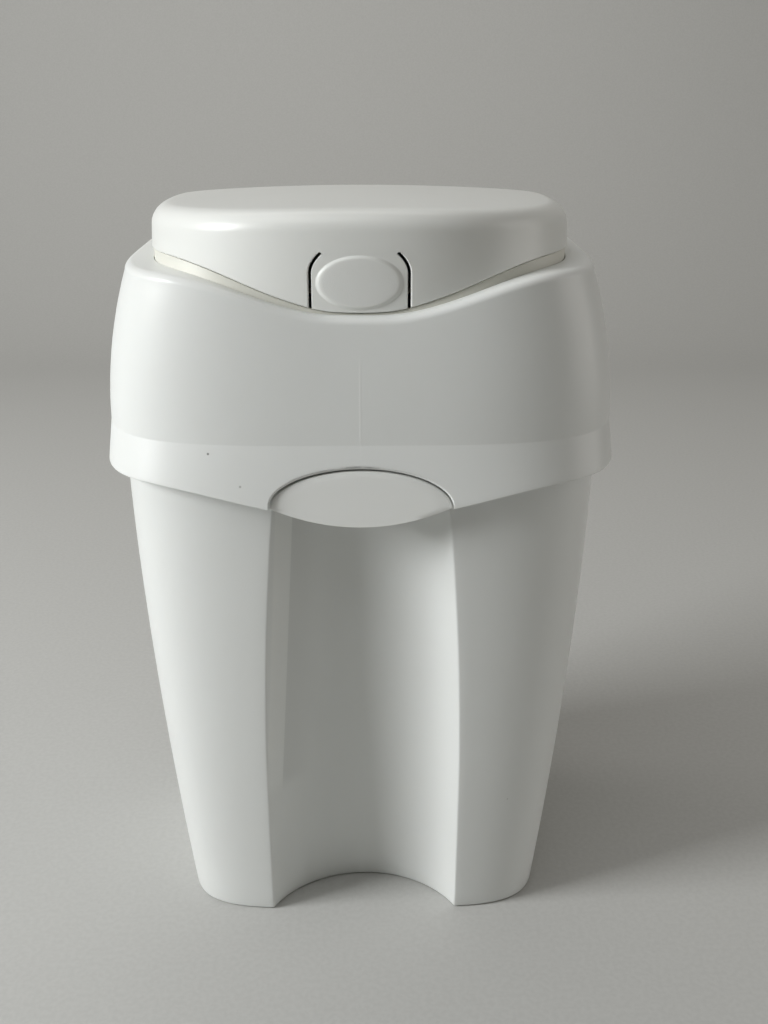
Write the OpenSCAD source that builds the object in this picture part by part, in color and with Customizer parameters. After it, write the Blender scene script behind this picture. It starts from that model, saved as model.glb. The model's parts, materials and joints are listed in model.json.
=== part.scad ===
// Nappy bin: a tapered tub with a front channel, and a hinged upper unit that carries a pop-up lid,
// a turning ring with a film cassette, and four sprung flaps. Millimetres, +Z up, front towards -Y,
// origin at the centre of the footprint on the floor.

/* [Overall] */
// Width over the skirt of the collar, the widest place
bin_w = 300; // [288:1:320]
// Depth over the skirt of the collar
bin_d = 254; // [252:1:270]
// Height of the tub's rim above the floor
tub_h = 312; // [290:1:340]

/* [Tub] */
// How far the tub's rim lies inside the skirt at each side
rim_side = 10.5; // [9.5:0.5:14]
// Width of the tub on the floor
tub_base_w = 230.6; // [215:0.2:245]
// How far the tub's rim lies inside the skirt at the front and at the back
rim_front = 11; // [10:0.5:12]
// Depth of the tub on the floor
tub_base_d = 178; // [170:1:190]
// Wall thickness of the tub
tub_wall = 2.8; // [2:0.1:3.5]
// Thickness of the tub's floor panel
tub_floor = 2.8; // [2:0.1:3.5]
// Height of the foot rim under the floor panel
foot_h = 3.5; // [2:0.5:6]
// Width of the foot rim
foot_w = 5; // [4:0.5:8]
// Width of the front channel at the floor
channel_w = 118; // [100:1:124]
// Width of the front channel at its top
channel_top_w = 97; // [90:1:100]
// Depth of the front channel at the floor
channel_d = 36; // [25:1:42]
// Depth of the front channel at its top
channel_top_d = 22; // [16:1:26]

/* [Collar] */
// Height of the collar at its sides, from skirt to shoulder
collar_h = 113; // [108:1:125]
// Wall thickness of the collar
collar_wall = 2.6; // [2:0.1:3.2]
// How far the collar reaches down over the tub
collar_overlap = 7.2; // [6:0.2:9]
// Height of the flared skirt
skirt_h = 24; // [20:1:28]
// How far the skirt flares out past the wall above it
skirt_flare = 2.9; // [2:0.1:3.5]
// How far the sides lean in from the crease to the shoulder
collar_lean = 14; // [12:1:15]
// How far the top edge dips at the front
collar_dip = 20; // [14:1:21]
// How far the lower edge dips towards the badge
skirt_dip = 18.5; // [14:0.5:20]
// Radius of the rolled top edge
collar_round = 4.5; // [3:0.5:6]

/* [Badge catch] */
// Width of the blank badge
badge_w = 100; // [90:1:104]
// Height of the badge above its tips
badge_rise = 21.8; // [18:0.2:23]
// Height of the badge below its tips
badge_drop = 11; // [8:0.5:12]
// Thickness of the badge plate
badge_t = 3; // [2.4:0.1:3.4]
// How far the badge is set back from the skirt
badge_set = 3; // [2:0.5:4]
// Travel of the badge when it is pressed
badge_travel = 3; // [2:0.5:3.5]

/* [Lid] */
// Width of the shoulder beside the lid, measured from the skirt
shoulder_side = 30.7; // [29:0.1:33]
// Width of the shoulder before and behind the lid, measured from the skirt
shoulder_front = 15.5; // [14.5:0.5:16.5]
// Height of the lid's highest place above its edge at the sides
lid_h = 27.1; // [24:0.1:30]
// How far the lid's lower edge dips at the front
lid_dip = 24; // [18:1:24]
// How much lower the lid's top is at the back than at its highest place
lid_crown = 9; // [6:0.5:10]
// How much lower the lid's top is at its sides than in the middle
lid_side_crown = 4.5; // [2:0.5:6]
// Radius of the lid's upper edge
lid_round = 11; // [9:1:14]
// Wall thickness of the lid
lid_wall = 2.5; // [2:0.1:3]
// Width of the spring tongue that carries the button
tongue_w = 50; // [48:1:56]
// Width of the slots beside the tongue
slot_w = 1.5; // [1:0.1:2]
// Width of the oval finger pad
pad_w = 46; // [40:1:46]
// Height of the oval finger pad
pad_h = 27; // [22:0.5:27.5]
// How far the finger pad stands out
pad_t = 1.2; // [0.8:0.1:2]

/* [Film cassette] */
// Outside diameter of the cassette
cassette_od = 172; // [168:1:174]
// Diameter of the throat that nappies pass through
throat_d = 120; // [112:1:122]
// Height of the cassette
cassette_h = 60; // [54:1:62]
// Wall thickness of the cassette
cassette_wall = 1.5; // [1.2:0.1:2]
// Number of pleats in the film pack
pleats = 16; // [10:1:20]

/* [Turning ring] */
// Wall thickness of the turning ring
ring_wall = 2.5; // [2:0.1:3]
// Number of grip lugs on the turning ring
grips = 8; // [6:1:12]
// How far the turning ring stands above the deck
ring_rise = 5; // [4:0.5:6]

/* [Frame] */
// Wall thickness of the frame that joins the upper unit
frame_wall = 2.5; // [2:0.1:3]
// Thickness of the deck round the mouth
deck_t = 2.5; // [2:0.1:3]

/* [Flaps] */
// Diameter of the hole left between the closed flaps
flap_hole_d = 36; // [30:1:44]
// Thickness of a flap
flap_t = 2.4; // [2:0.1:3]
// Diameter of a flap's pin
flap_pin_d = 3; // [2.5:0.5:3.5]
// Length of a flap's hinge
flap_hinge_l = 52; // [44:1:56]

/* [Hinges] */
// Diameter of the pins that join the tub and the upper unit
rear_pin_d = 4; // [3:0.5:4.5]
// Distance from the middle to each rear hinge
rear_hinge_x = 60; // [50:1:66]
// Diameter of the lid's hinge pin
lid_pin_d = 3; // [2.5:0.5:3.5]
// Distance from the middle to each lid hinge
lid_hinge_x = 35; // [30:1:40]

/* [Fits] */
// Radial clearance of a pin in its bore
pin_gap = 0.05; // [0.02:0.01:0.1]
// Gap between pieces that move past each other
run_gap = 0.3; // [0.3:0.05:0.4]
// Radial gap round the turning ring and round the cassette
ring_gap = 0.5; // [0.4:0.1:0.7]

/* [Hidden] */
$fn = 96;

// Counts of points round the sides and back of an outline, and across its front stretch
around = 52;
across = 24;

// Wave that the edges follow at the front, from 1 at the middle to 0 at its reach
function wave(x, flat, reach) = (1 + cos(180 * min(max(abs(x) - flat, 0) / (reach - flat), 1))) / 2;

function power(v, e) = sign(v) * pow(abs(v), e);

// Closed outline of a rounded rectangle with half sizes a and b. It runs round the sides and back from
// one end of the front stretch, at x = c, to the other, then across that stretch, which bows in by sag.
// Its points there are evenly spaced, or closer together towards the ends.
function outline(a, b, n, c, sag = 0, even = true) =
    let (t0 = acos(pow(c / a, n / 2)),
         y0 = -b * pow(sin(t0), 2 / n),
         r = sag > 0 ? (c * c + sag * sag) / (2 * sag) : 0,
         f0 = sag > 0 ? acos((r - sag) / r) : 0)
    concat(
        [for (i = [0:around]) let (t = -t0 + (180 + 2 * t0) * i / around)
            [a * power(cos(t), 2 / n), b * power(sin(t), 2 / n)]],
        [for (j = [1:across - 1])
            let (x = even ? c - 2 * c * j / across : c * cos(180 * j / across), f = f0 - 2 * f0 * j / across)
            sag > 0 ? [-r * sin(f), y0 - (r - sag) + r * cos(f)]
                    : [-x, -b * pow(1 - pow(abs(x) / a, n), 1 / n)]]);

function lift(points, z) = [for (p = points) [p[0], p[1], z]];

// Skin over a stack of rings with equal counts, closed by a fan at each end, or looped end to end
module skin(rings, ends = []) {
    m = len(rings[0]);
    k = len(rings);
    loops = len(ends) == 0 ? k : k - 1;
    sides = [for (i = [0:loops - 1], j = [0:m - 1])
        let (p = i * m + j, q = i * m + (j + 1) % m,
             u = ((i + 1) % k) * m + j, v = ((i + 1) % k) * m + (j + 1) % m)
        each [[p, u, q], [q, u, v]]];
    caps = len(ends) == 0 ? [] : [for (j = [0:m - 1]) let (q = (j + 1) % m)
        each [[k * m, j, q], [k * m + 1, (k - 1) * m + q, (k - 1) * m + j]]];
    polyhedron(points = concat([for (ring = rings, p = ring) p], ends), faces = concat(sides, caps));
}

// Copies at plus and minus x
module both_sides() {
    for (s = [0, 1]) mirror([s, 0, 0]) children();
}

// Round bar along X between two places
module bar_x(x0, x1, r, y, z) {
    translate([x0, y, z]) rotate([0, 90, 0]) cylinder(r = r, h = x1 - x0);
}

// Block between two corners
module block(p, q) {
    translate(p) cube(q - p);
}

// Sizes of the tub's rim and of the lid, which follow the skirt
tub_top_w = bin_w - 2 * rim_side;
tub_top_d = bin_d - 2 * rim_front;
lid_w = bin_w - 2 * shoulder_side;
lid_d = bin_d - 2 * shoulder_front;

// Heights that the pieces share
skirt_z = tub_h - collar_overlap;
crease_z = skirt_z + skirt_h;
ridge_z = skirt_z + collar_h;
edge_z = ridge_z + 6.5;
lid_top_z = edge_z + lid_h;
deck_z = edge_z - 28.5;
frame_top_z = deck_z - deck_t;

// Half sizes of the mouth ring, which the lid just covers
lid_y = -3.5;
lid_n = 3.2;
mouth_in = 1;
mouth_wall = 2.5;
lid_front = lid_w / 2 - 29.3;

// Radii that nest from the throat outwards
throat_r = throat_d / 2;
cassette_r = cassette_od / 2;
ring_r = cassette_r + ring_gap;
sleeve_r = ring_r + ring_wall + ring_gap;

// Tub
channel_z = tub_h - 19;
channel_cap = 4;
channel_straight = 90;
base_n = 5;
rim_n = 4.3;

function tub_half_w(z) = (tub_base_w + (tub_top_w - tub_base_w) * (1 - pow(1 - min(z / tub_h, 1), 1.6))) / 2;
function tub_half_d(z) = (tub_base_d + (tub_top_d - tub_base_d) * z / tub_h) / 2;
function tub_n(z) = base_n + (rim_n - base_n) * z / tub_h;

function tub_ring(z, w, depth) =
    let (f = pow(max(z - channel_straight, 0) / (channel_z - channel_straight), 2),
         c = (channel_w - (channel_w - channel_top_w) * f) / 2,
         s = channel_d - (channel_d - channel_top_d) * z / channel_z,
         r = (c * c + s * s) / (2 * s),
         cw = sqrt(pow(r + w, 2) - pow(r - s + w, 2)))
    lift(outline(tub_half_w(z) - w, tub_half_d(z) - w, tub_n(z), cw, depth * s), z);

// Rear hinge between the tub and the upper unit
rear_r = rear_pin_d / 2;
knuckle_r = rear_r + 2.3;
rear_z = tub_h - 12;
rear_y = tub_half_d(rear_z) + run_gap + 0.2 + knuckle_r;
lug_w = 11.4;
ear_w = 6;

header_y = -tub_half_d(tub_h - 6);
guide_x = 25;
guide_z = tub_h - 6;
guide_r = 2;
arm_w = 20;
arm_t = 4;

module tub_skin() {
    floor_z = foot_h + tub_floor;
    cap_z = channel_z + channel_cap;
    skin(concat(
        [tub_ring(foot_h, foot_w, 1), tub_ring(0, foot_w, 1)],
        [for (i = [0:8]) tub_ring(channel_z * i / 8, 0, 1)],
        [tub_ring(cap_z, 0, 0), tub_ring(tub_h, 0, 0), tub_ring(tub_h, tub_wall, 0)],
        [tub_ring(cap_z + tub_wall, tub_wall, 0), tub_ring(channel_z + tub_wall, tub_wall, 1)],
        [for (i = [5:-1:0]) tub_ring(floor_z + (channel_z - floor_z) * i / 6, tub_wall, 1)]),
        [[0, 20, foot_h], [0, 20, floor_z]]);
}

module tub() {
    color("white") difference() {
        union() {
            tub_skin();
            both_sides() for (s = [-1, 1]) rear_ear(rear_hinge_x + s * (lug_w / 2 + run_gap + ear_w / 2));
        }
        both_sides() bar_x(rear_hinge_x - 20, rear_hinge_x + 20, rear_r, rear_y, rear_z);
        // Window for the catch's arm and holes for its guides, through the panel over the channel
        block([-arm_w / 2 - run_gap, header_y - 4, guide_z - arm_t / 2 - run_gap],
            [arm_w / 2 + run_gap, header_y + 8, guide_z + arm_t / 2 + run_gap]);
        both_sides() translate([guide_x, header_y - 4, guide_z]) rotate([-90, 0, 0])
            cylinder(r = guide_r + pin_gap, h = 12);
    }
}

module rear_ear(x) {
    bar_x(x - ear_w / 2, x + ear_w / 2, knuckle_r, rear_y, rear_z);
    block([x - ear_w / 2, tub_half_d(rear_z) - tub_wall - 0.1, rear_z - knuckle_r],
        [x + ear_w / 2, rear_y, rear_z]);
}

module rear_hinge_pins() {
    reach = lug_w / 2 + run_gap + ear_w + 1;
    color("silver") both_sides() bar_x(rear_hinge_x - reach, rear_hinge_x + reach, rear_r, rear_y, rear_z);
}

// Blank badge that releases the upper unit when it is pressed
badge_z = skirt_z - skirt_dip * wave(badge_w / 2, 0, 125);
badge_front = -bin_d / 2 + badge_set;
badge_back = badge_front + badge_t;
hook_z = crease_z + 9;
hook_t = 4;
hook_back = header_y + 10;

function badge_outline(grow) = concat(
    [for (t = [0:7.5:180]) [(badge_w / 2 + grow) * cos(t), badge_z + (badge_rise + grow) * sin(t)]],
    [for (i = [1:15]) let (x = -1 + 2 * i / 16)
        [(badge_w / 2 + grow) * x, badge_z - (badge_drop + grow) * (1 - x * x)]]);

module badge_catch() {
    color("white") {
        translate([0, badge_back, 0]) rotate([90, 0, 0]) {
            linear_extrude(badge_t - 0.8) polygon(badge_outline(0));
            linear_extrude(badge_t) polygon(badge_outline(-1.2));
        }
        both_sides() translate([guide_x, badge_back, guide_z]) rotate([-90, 0, 0])
            cylinder(r = guide_r, h = header_y - badge_back + tub_wall + 3);
        block([-arm_w / 2, badge_back, guide_z - arm_t / 2], [arm_w / 2, hook_back, guide_z + arm_t / 2]);
        block([-arm_w / 2, hook_back - 4, guide_z - arm_t / 2], [arm_w / 2, hook_back, hook_z + hook_t]);
        block([-arm_w / 2, hook_back - 8, hook_z], [arm_w / 2, hook_back, hook_z + hook_t]);
    }
}

// Ridged sleeve of revolution that stands for a close-wound spring
module coil(r, wire, turns, pitch) {
    rotate_extrude() polygon(concat([[r - wire / 2, 0], [r, 0]],
        [for (i = [0:turns - 1]) each [[r + wire / 2, pitch * (i + 0.5)], [r, pitch * (i + 1)]]],
        [[r - wire / 2, pitch * turns]]));
}

// Springs of the catch at their pressed length, seated on the panel behind the badge
module catch_springs() {
    turns = 2;
    front = badge_back + badge_travel + run_gap;
    color("silver") both_sides() translate([guide_x, front, guide_z]) rotate([-90, 0, 0])
        coil(guide_r + 1.2, 0.8, turns, (header_y - run_gap - front) / turns);
}

module latch_keeper() {
    w = arm_w + 16;
    wall_y = -bin_d / 2 + skirt_flare + collar_wall + run_gap + 0.2;
    color("gainsboro") {
        block([-w / 2, wall_y, hook_z - 16], [w / 2, wall_y + 2, hook_z + 14]);
        block([-w / 2, wall_y, hook_z - run_gap - 3], [w / 2, hook_back - 8 - run_gap, hook_z - run_gap]);
        both_sides()
            block([w / 2 - 2, wall_y, hook_z - 14], [w / 2, hook_back - 8 - run_gap, hook_z - run_gap]);
    }
}

// Collar
edge_flat = 12;
edge_reach = 108;
arch = badge_w / 2 + 0.6;
front_lean = 2;

function dip(x, y, depth) = y < 0 ? depth * wave(x, edge_flat, edge_reach) : 0;

function skirt_low(x, y) = skirt_z - (y > 0 ? 0 : skirt_dip * wave(x, 0, 125));
function collar_low(x, y) = y < 0 && abs(x) < arch
    ? badge_z + 0.3 + (badge_rise + 0.6) * sqrt(1 - pow(x / arch, 2)) : skirt_low(x, y);
function collar_outline(inset_w, inset_d) = outline(bin_w / 2 - inset_w, bin_d / 2 - inset_d, 4, arch, 0, false);

// Lower edge of the skirt, which flares out evenly with height, also round the arch over the badge
function skirt_ring(w) =
    let (outer = collar_outline(w, w), inner = collar_outline(skirt_flare + w, skirt_flare + w))
    [for (i = [0:len(outer) - 1])
        let (p = outer[i], z = collar_low(p[0], p[1]), base = skirt_low(p[0], p[1]),
             q = p + (inner[i] - p) * (z - base) / (crease_z - base))
        [q[0], q[1], z]];

// Ring of the collar's wall at share f of the way up from the crease
function wall_ring(f, w) =
    [for (p = collar_outline(skirt_flare + collar_lean * f * f + w, skirt_flare + front_lean * f * f + w))
        [p[0], p[1], crease_z + (ridge_z - dip(p[0], p[1], collar_dip) - collar_round - crease_z) * f]];

// Ring of the rolled top edge, turned from the wall at 0 towards the shoulder at 90
function roll_ring(turn) =
    let (in = skirt_flare + collar_round * (1 - cos(turn)))
    [for (p = collar_outline(in + collar_lean, in + front_lean))
        [p[0], p[1], ridge_z - dip(p[0], p[1], collar_dip) - collar_round * (1 - sin(turn))]];

function shoulder_ring(w) =
    [for (p = outline(lid_w / 2 - mouth_in + run_gap, lid_d / 2 - mouth_in + run_gap, lid_n, arch, 0, false))
        [p[0], p[1] + lid_y, ridge_z - dip(p[0], p[1], collar_dip) - w]];

module collar() {
    color("white") skin(concat(
        [skirt_ring(0)],
        [for (f = [0:0.2:1]) wall_ring(f, 0)],
        [for (turn = [30, 60, 90]) roll_ring(turn)],
        [shoulder_ring(0), shoulder_ring(collar_wall)],
        [for (f = [1, 0.75, 0.5, 0.25, 0]) wall_ring(f, collar_wall)],
        [skirt_ring(collar_wall)]));
}

// Mouth ring: the cream wall under the lid's edge, its deck, and the ears of the lid's hinge
lid_axis_y = lid_y + lid_d / 2 + 4;
lid_axis_z = edge_z + 2.7;
lid_r = lid_pin_d / 2;
lid_knuckle_r = 4;
lid_knuckle_w = 10;
lid_ear_w = 5.5;

function mouth_outline(w) = outline(lid_w / 2 - mouth_in - w, lid_d / 2 - mouth_in - w, lid_n, lid_front);
function mouth_top(w) = [for (p = mouth_outline(w))
    [p[0], p[1] + lid_y, edge_z - run_gap - dip(p[0], p[1], lid_dip)]];
function mouth_flat(w, z) = [for (p = mouth_outline(w)) [p[0], p[1] + lid_y, z]];
function deck_bore(z) = [for (p = mouth_outline(0)) let (t = atan2(p[1], p[0]))
    [(sleeve_r - 3) * cos(t), (sleeve_r - 3) * sin(t), z]];

hook_slot_y = lid_y - lid_d / 2 + 4.5;
hook_w = 16;

module mouth_ring() {
    color("ivory") difference() {
        union() {
            skin([mouth_flat(0, frame_top_z), mouth_top(0), mouth_top(mouth_wall), mouth_flat(mouth_wall, deck_z),
                deck_bore(deck_z), deck_bore(frame_top_z)]);
            both_sides() for (s = [-1, 1])
                lid_ear(lid_hinge_x + s * (lid_knuckle_w / 2 + run_gap + lid_ear_w / 2));
        }
        bar_x(-lid_hinge_x - 20, lid_hinge_x + 20, lid_r, lid_axis_y, lid_axis_z);
        translate([0, 0, frame_top_z - 1]) cylinder(r = sleeve_r, h = deck_t + 2);
        block([-hook_w / 2 - 1, hook_slot_y, frame_top_z - 1], [hook_w / 2 + 1, hook_slot_y + 7, deck_z + 1]);
    }
}

module lid_ear(x) {
    bar_x(x - lid_ear_w / 2, x + lid_ear_w / 2, lid_knuckle_r, lid_axis_y, lid_axis_z);
    low = edge_z - 5.3;
    block([x - lid_ear_w / 2, lid_axis_y - 7.5, low], [x + lid_ear_w / 2, lid_axis_y, edge_z - run_gap]);
    block([x - lid_ear_w / 2, lid_axis_y - 3.5, low], [x + lid_ear_w / 2, lid_axis_y, lid_axis_z]);
}

module lid_hinge_pin() {
    reach = lid_hinge_x + lid_knuckle_w / 2 + run_gap + lid_ear_w + 1;
    color("silver") bar_x(-reach, reach, lid_r, lid_axis_y, lid_axis_z);
}

// Upper frame: the sleeve round the turning ring, its ledge, and the webs and lugs that carry it
ledge_z = deck_z + 1 - cassette_h - ring_wall - run_gap;
ledge_in = 70;
sleeve_out = sleeve_r + frame_wall;
frame_low_z = ledge_z - frame_wall;
web_gap = 1.2;

// Distance from the middle to the collar's inner face, along a direction
function collar_reach(turn) = pow(pow(abs(cos(turn)) / (bin_w / 2 - skirt_flare - collar_wall), 4)
    + pow(abs(sin(turn)) / (bin_d / 2 - skirt_flare - collar_wall), 4), -1 / 4);

module web(turn) {
    reach = collar_reach(turn) - web_gap;
    rotate([0, 0, turn]) block([sleeve_out + run_gap, -1, tub_h + run_gap], [reach, 1, crease_z + 8]);
    rotate([0, 0, turn]) block([sleeve_out - 1, -1, frame_low_z], [sleeve_out + 10, 1, frame_top_z]);
}

module upper_frame() {
    lug_y = sqrt(pow(sleeve_r - 5, 2) - pow(rear_hinge_x, 2));
    lug_top_z = frame_low_z + 14;
    lug_x0 = rear_hinge_x - lug_w / 2;
    lug_x1 = rear_hinge_x + lug_w / 2;
    color("gainsboro") difference() {
        union() {
            rotate_extrude() polygon([[ledge_in, frame_low_z], [sleeve_out, frame_low_z],
                [sleeve_out, frame_top_z - 2], [sleeve_out + 10, frame_top_z - 2], [sleeve_out + 10, frame_top_z],
                [sleeve_r, frame_top_z], [sleeve_r, ledge_z], [ledge_in, ledge_z]]);
            for (turn = [0, 40, 140, 180, 220, 320]) web(turn);
            both_sides() {
                block([lug_x0, lug_y, frame_low_z], [lug_x1, rear_y + 0.1, lug_top_z]);
                block([lug_x0, rear_y - 2, rear_z], [lug_x1, rear_y + 0.1, lug_top_z]);
                bar_x(lug_x0, lug_x1, knuckle_r, rear_y, rear_z);
            }
        }
        both_sides() bar_x(rear_hinge_x - 10, rear_hinge_x + 10, rear_r + pin_gap, rear_y, rear_z);
        translate([0, 0, ledge_z]) cylinder(r = sleeve_r, h = cassette_h + 20);
        translate([0, 0, frame_low_z - 30]) cylinder(r = ledge_in, h = 60);
        four() rotate([0, 0, screw_turn]) translate([screw_r, 0, frame_low_z - 1]) cylinder(r = 1.5, h = 20);
    }
}

// Clamp ring under the frame, with the ears of the four flaps
clamp_t = 3;
clamp_low_z = frame_low_z - clamp_t;
flap_r = flap_pin_d / 2;
flap_knuckle_r = flap_r + 1.7;
flap_axis = throat_r + 6;
flap_z = clamp_low_z - flap_knuckle_r - 0.8;
flap_ear_w = 4;
screw_r = 84;
screw_turn = 32;
spring_half = 8;

module four() {
    for (turn = [0:90:270]) rotate([0, 0, turn]) children();
}

module flap_ear(x) {
    r = flap_knuckle_r;
    bar_x(x, x + flap_ear_w, r, -flap_axis, flap_z);
    block([x, -flap_axis - r, flap_z], [x + flap_ear_w, -flap_axis + r, clamp_low_z + 0.5]);
}

module clamp_ring() {
    half = flap_hinge_l / 2;
    color("gainsboro") difference() {
        union() {
            translate([0, 0, clamp_low_z]) difference() {
                cylinder(r = sleeve_out, h = clamp_t);
                translate([0, 0, -1]) cylinder(r = throat_r + 2, h = clamp_t + 2);
            }
            four() both_sides() flap_ear(half + run_gap);
        }
        four() bar_x(-half - 10, half + 10, flap_r, -flap_axis, flap_z);
        four() rotate([0, 0, screw_turn]) translate([screw_r, 0, clamp_low_z - 1]) cylinder(r = 1.5, h = 20);
    }
}

module clamp_screws() {
    color("silver") four() rotate([0, 0, screw_turn]) translate([screw_r, 0, 0]) {
        translate([0, 0, clamp_low_z - 2]) cylinder(r = 3, h = 2);
        translate([0, 0, clamp_low_z - 1]) cylinder(r = 1.5, h = clamp_t + frame_wall);
    }
}

module flap_pins() {
    half = flap_hinge_l / 2 + run_gap + flap_ear_w + 0.5;
    color("silver") four() bar_x(-half, half, flap_r, -flap_axis, flap_z);
}

module flap_springs() {
    turns = 12;
    color("silver") four() {
        translate([-spring_half, -flap_axis, flap_z]) rotate([0, 90, 0])
            coil(flap_r + 0.7, 0.8, turns, 2 * spring_half / turns);
        translate([-spring_half + 0.8, -flap_axis, flap_z + flap_r + 0.5])
            cylinder(r = 0.4, h = clamp_low_z - flap_z - flap_r - 0.5, $fn = 24);
    }
}

// One flap, a quarter of the diaphragm, drawn at the front
module flap() {
    r = flap_knuckle_r;
    half = flap_hinge_l / 2;
    tip = 0.8 * sqrt(2);
    far = throat_r;
    difference() {
        union() {
            translate([0, 0, flap_z - flap_t / 2]) linear_extrude(flap_t) {
                difference() {
                    intersection() {
                        circle(r = far);
                        polygon([[0, -tip], [far, -tip - far], [-far, -tip - far]]);
                    }
                    circle(r = flap_hole_d / 2);
                }
                translate([-half, -flap_axis]) square([2 * half, 20]);
            }
            bar_x(-half, half, r, -flap_axis, flap_z);
            for (x = [-14, 0, 14])
                block([x - 0.8, -flap_axis + 8, flap_z - 5], [x + 0.8, -flap_hole_d / 2 - 6, flap_z]);
        }
        bar_x(-half - 1, half + 1, flap_r + pin_gap, -flap_axis, flap_z);
        block([-spring_half - run_gap, -flap_axis - 6, flap_z - 6],
            [spring_half + run_gap, -flap_axis + r + 0.6, flap_z + 6]);
    }
}

module flap_front() { color("white") flap(); }
module flap_right() { color("white") rotate([0, 0, 90]) flap(); }
module flap_rear() { color("white") rotate([0, 0, 180]) flap(); }
module flap_left() { color("white") rotate([0, 0, 270]) flap(); }

// Film cutter: a guarded steel blade under the clamp ring, between two flaps
cutter_in = 72;
cutter_out = 84;
module film_cutter() {
    color("gainsboro") rotate([0, 0, 45]) difference() {
        block([cutter_in, -12, clamp_low_z - 11], [cutter_out, 12, clamp_low_z]);
        block([cutter_in - 1, -9, clamp_low_z - 7], [cutter_out - 3, 9, clamp_low_z - 4.5]);
        block([cutter_in + 5, -8.3, clamp_low_z - 6.2], [cutter_out - 2, 8.3, clamp_low_z - 5.5]);
    }
}

module cutter_blade() {
    color("silver") rotate([0, 0, 45])
        block([cutter_in + 5, -8, clamp_low_z - 6.1], [cutter_out - 2.3, 8, clamp_low_z - 5.6]);
}

// Turning ring and the film cassette that drops into it
ring_low_z = ledge_z + run_gap;
cassette_z = ring_low_z + ring_wall;
ring_top_z = deck_z + ring_rise;

module turning_ring() {
    r0 = ring_r;
    r1 = ring_r + ring_wall;
    color("lightsteelblue") {
        rotate_extrude() polygon([[throat_r + 12, ring_low_z], [r1, ring_low_z], [r1, deck_z + 0.8],
            [r1 + 2.2, deck_z + 0.8], [r1 + 2.2, ring_top_z - 1], [r1 + 1.2, ring_top_z], [r0, ring_top_z],
            [r0, cassette_z], [throat_r + 12, cassette_z]]);
        for (i = [0:grips - 1]) rotate([0, 0, 360 * (i + 0.5) / grips]) difference() {
            block([r0 - 3, -7, cassette_z + cassette_h + 0.8], [r0 + 1, 7, ring_top_z]);
            for (y = [-4, 0, 4]) translate([r0 - 3, y, cassette_z + cassette_h]) cylinder(r = 1, h = 20, $fn = 24);
        }
    }
}

module cassette_tub() {
    w = cassette_wall;
    z = cassette_z;
    color("dodgerblue") rotate_extrude() polygon([[throat_r, z], [cassette_r, z],
        [cassette_r, z + cassette_h - w], [cassette_r - w, z + cassette_h - w], [cassette_r - w, z + w],
        [throat_r + w, z + w],
        [throat_r + w, z + cassette_h - 8], [throat_r, z + cassette_h - 8]]);
}

module film_pack() {
    r0 = throat_r + cassette_wall + 0.3;
    r1 = cassette_r - cassette_wall - 0.3;
    z0 = cassette_z + cassette_wall;
    pitch = (cassette_h - 2 * cassette_wall - 2) / pleats;
    color("aliceblue") rotate_extrude() polygon(concat(
        [[r0 + 1, z0]],
        [for (i = [0:pleats - 1]) each [[r1, z0 + pitch * (i + 0.5)], [r1 - 3, z0 + pitch * (i + 1)]]],
        [for (i = [pleats - 1:-1:0]) each [[r0, z0 + pitch * (i + 0.5)], [r0 + 3, z0 + pitch * i]]]));
}

module cassette_cover() {
    w = cassette_wall;
    z = cassette_z + cassette_h;
    color("dodgerblue") rotate_extrude() polygon([[throat_r, z - 3], [throat_r + w, z - 3],
        [throat_r + w, z - w], [cassette_r, z - w], [cassette_r, z], [throat_r + 2, z], [throat_r, z - 2]]);
}

// Lid
function lid_edge(p) = edge_z - dip(p[0], p[1], lid_dip);
function lid_top(p) = lid_top_z - lid_side_crown * pow(p[0] / (lid_w / 2), 2)
    - lid_crown * pow((p[1] / (lid_d / 2) + lid_peak) / (1 + lid_peak), 2);

// Ring of the lid's skin. Where up is from 0 to 1 it lies in the rounded edge, and where up is
// negative on the lower edge; shrink draws the rings of the top in towards the middle.
function lid_ring(in, up, w, shrink = 1) =
    [for (q = outline(lid_w / 2 - in - w, lid_d / 2 - in - w, lid_n, lid_front))
        let (p = q * shrink, room = min(lid_round, lid_top(q) - lid_edge(q) - 1.5))
        [p[0], p[1] + lid_y, up < 0 ? lid_edge(p) : lid_top(p) - w - (room - w) * (1 - up)]];

// How far ahead of the middle the lid is highest, as a share of half its depth
lid_peak = 0.5;

lid_draft = 0.6;
lid_turns = [for (i = [0:5]) 18 * i];
lid_shrinks = [0.8, lid_peak * lid_d / 2 / (lid_d / 2 - lid_draft - lid_round), 0.28];

// Skin of the lid, up its inside from the middle of the roof, round the edge and back over the outside
module lid_skin(w0, w1) {
    full = lid_draft + lid_round;
    skin(concat(
        [for (i = [2:-1:0]) lid_ring(full - w1, 1, w1, lid_shrinks[i])],
        [for (i = [5:-1:0]) lid_ring(full - w1 - (lid_round - w1) * cos(lid_turns[i]), sin(lid_turns[i]), w1)],
        [lid_ring(0, -1, w1), lid_ring(0, -1, w0)],
        [for (i = [0:5]) lid_ring(full - lid_round * cos(lid_turns[i]), sin(lid_turns[i]), w0)],
        [for (i = [0:2]) lid_ring(full, 1, w0, lid_shrinks[i])]),
        [[0, lid_y, lid_top([0, 0]) - w1], [0, lid_y, lid_top([0, 0]) - w0]]);
}

tongue_top = edge_z + 4.2;
tongue_corner = [[0, -10], [-1.2, -6], [-3.2, -2.6], [-5.6, 0]];

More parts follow.
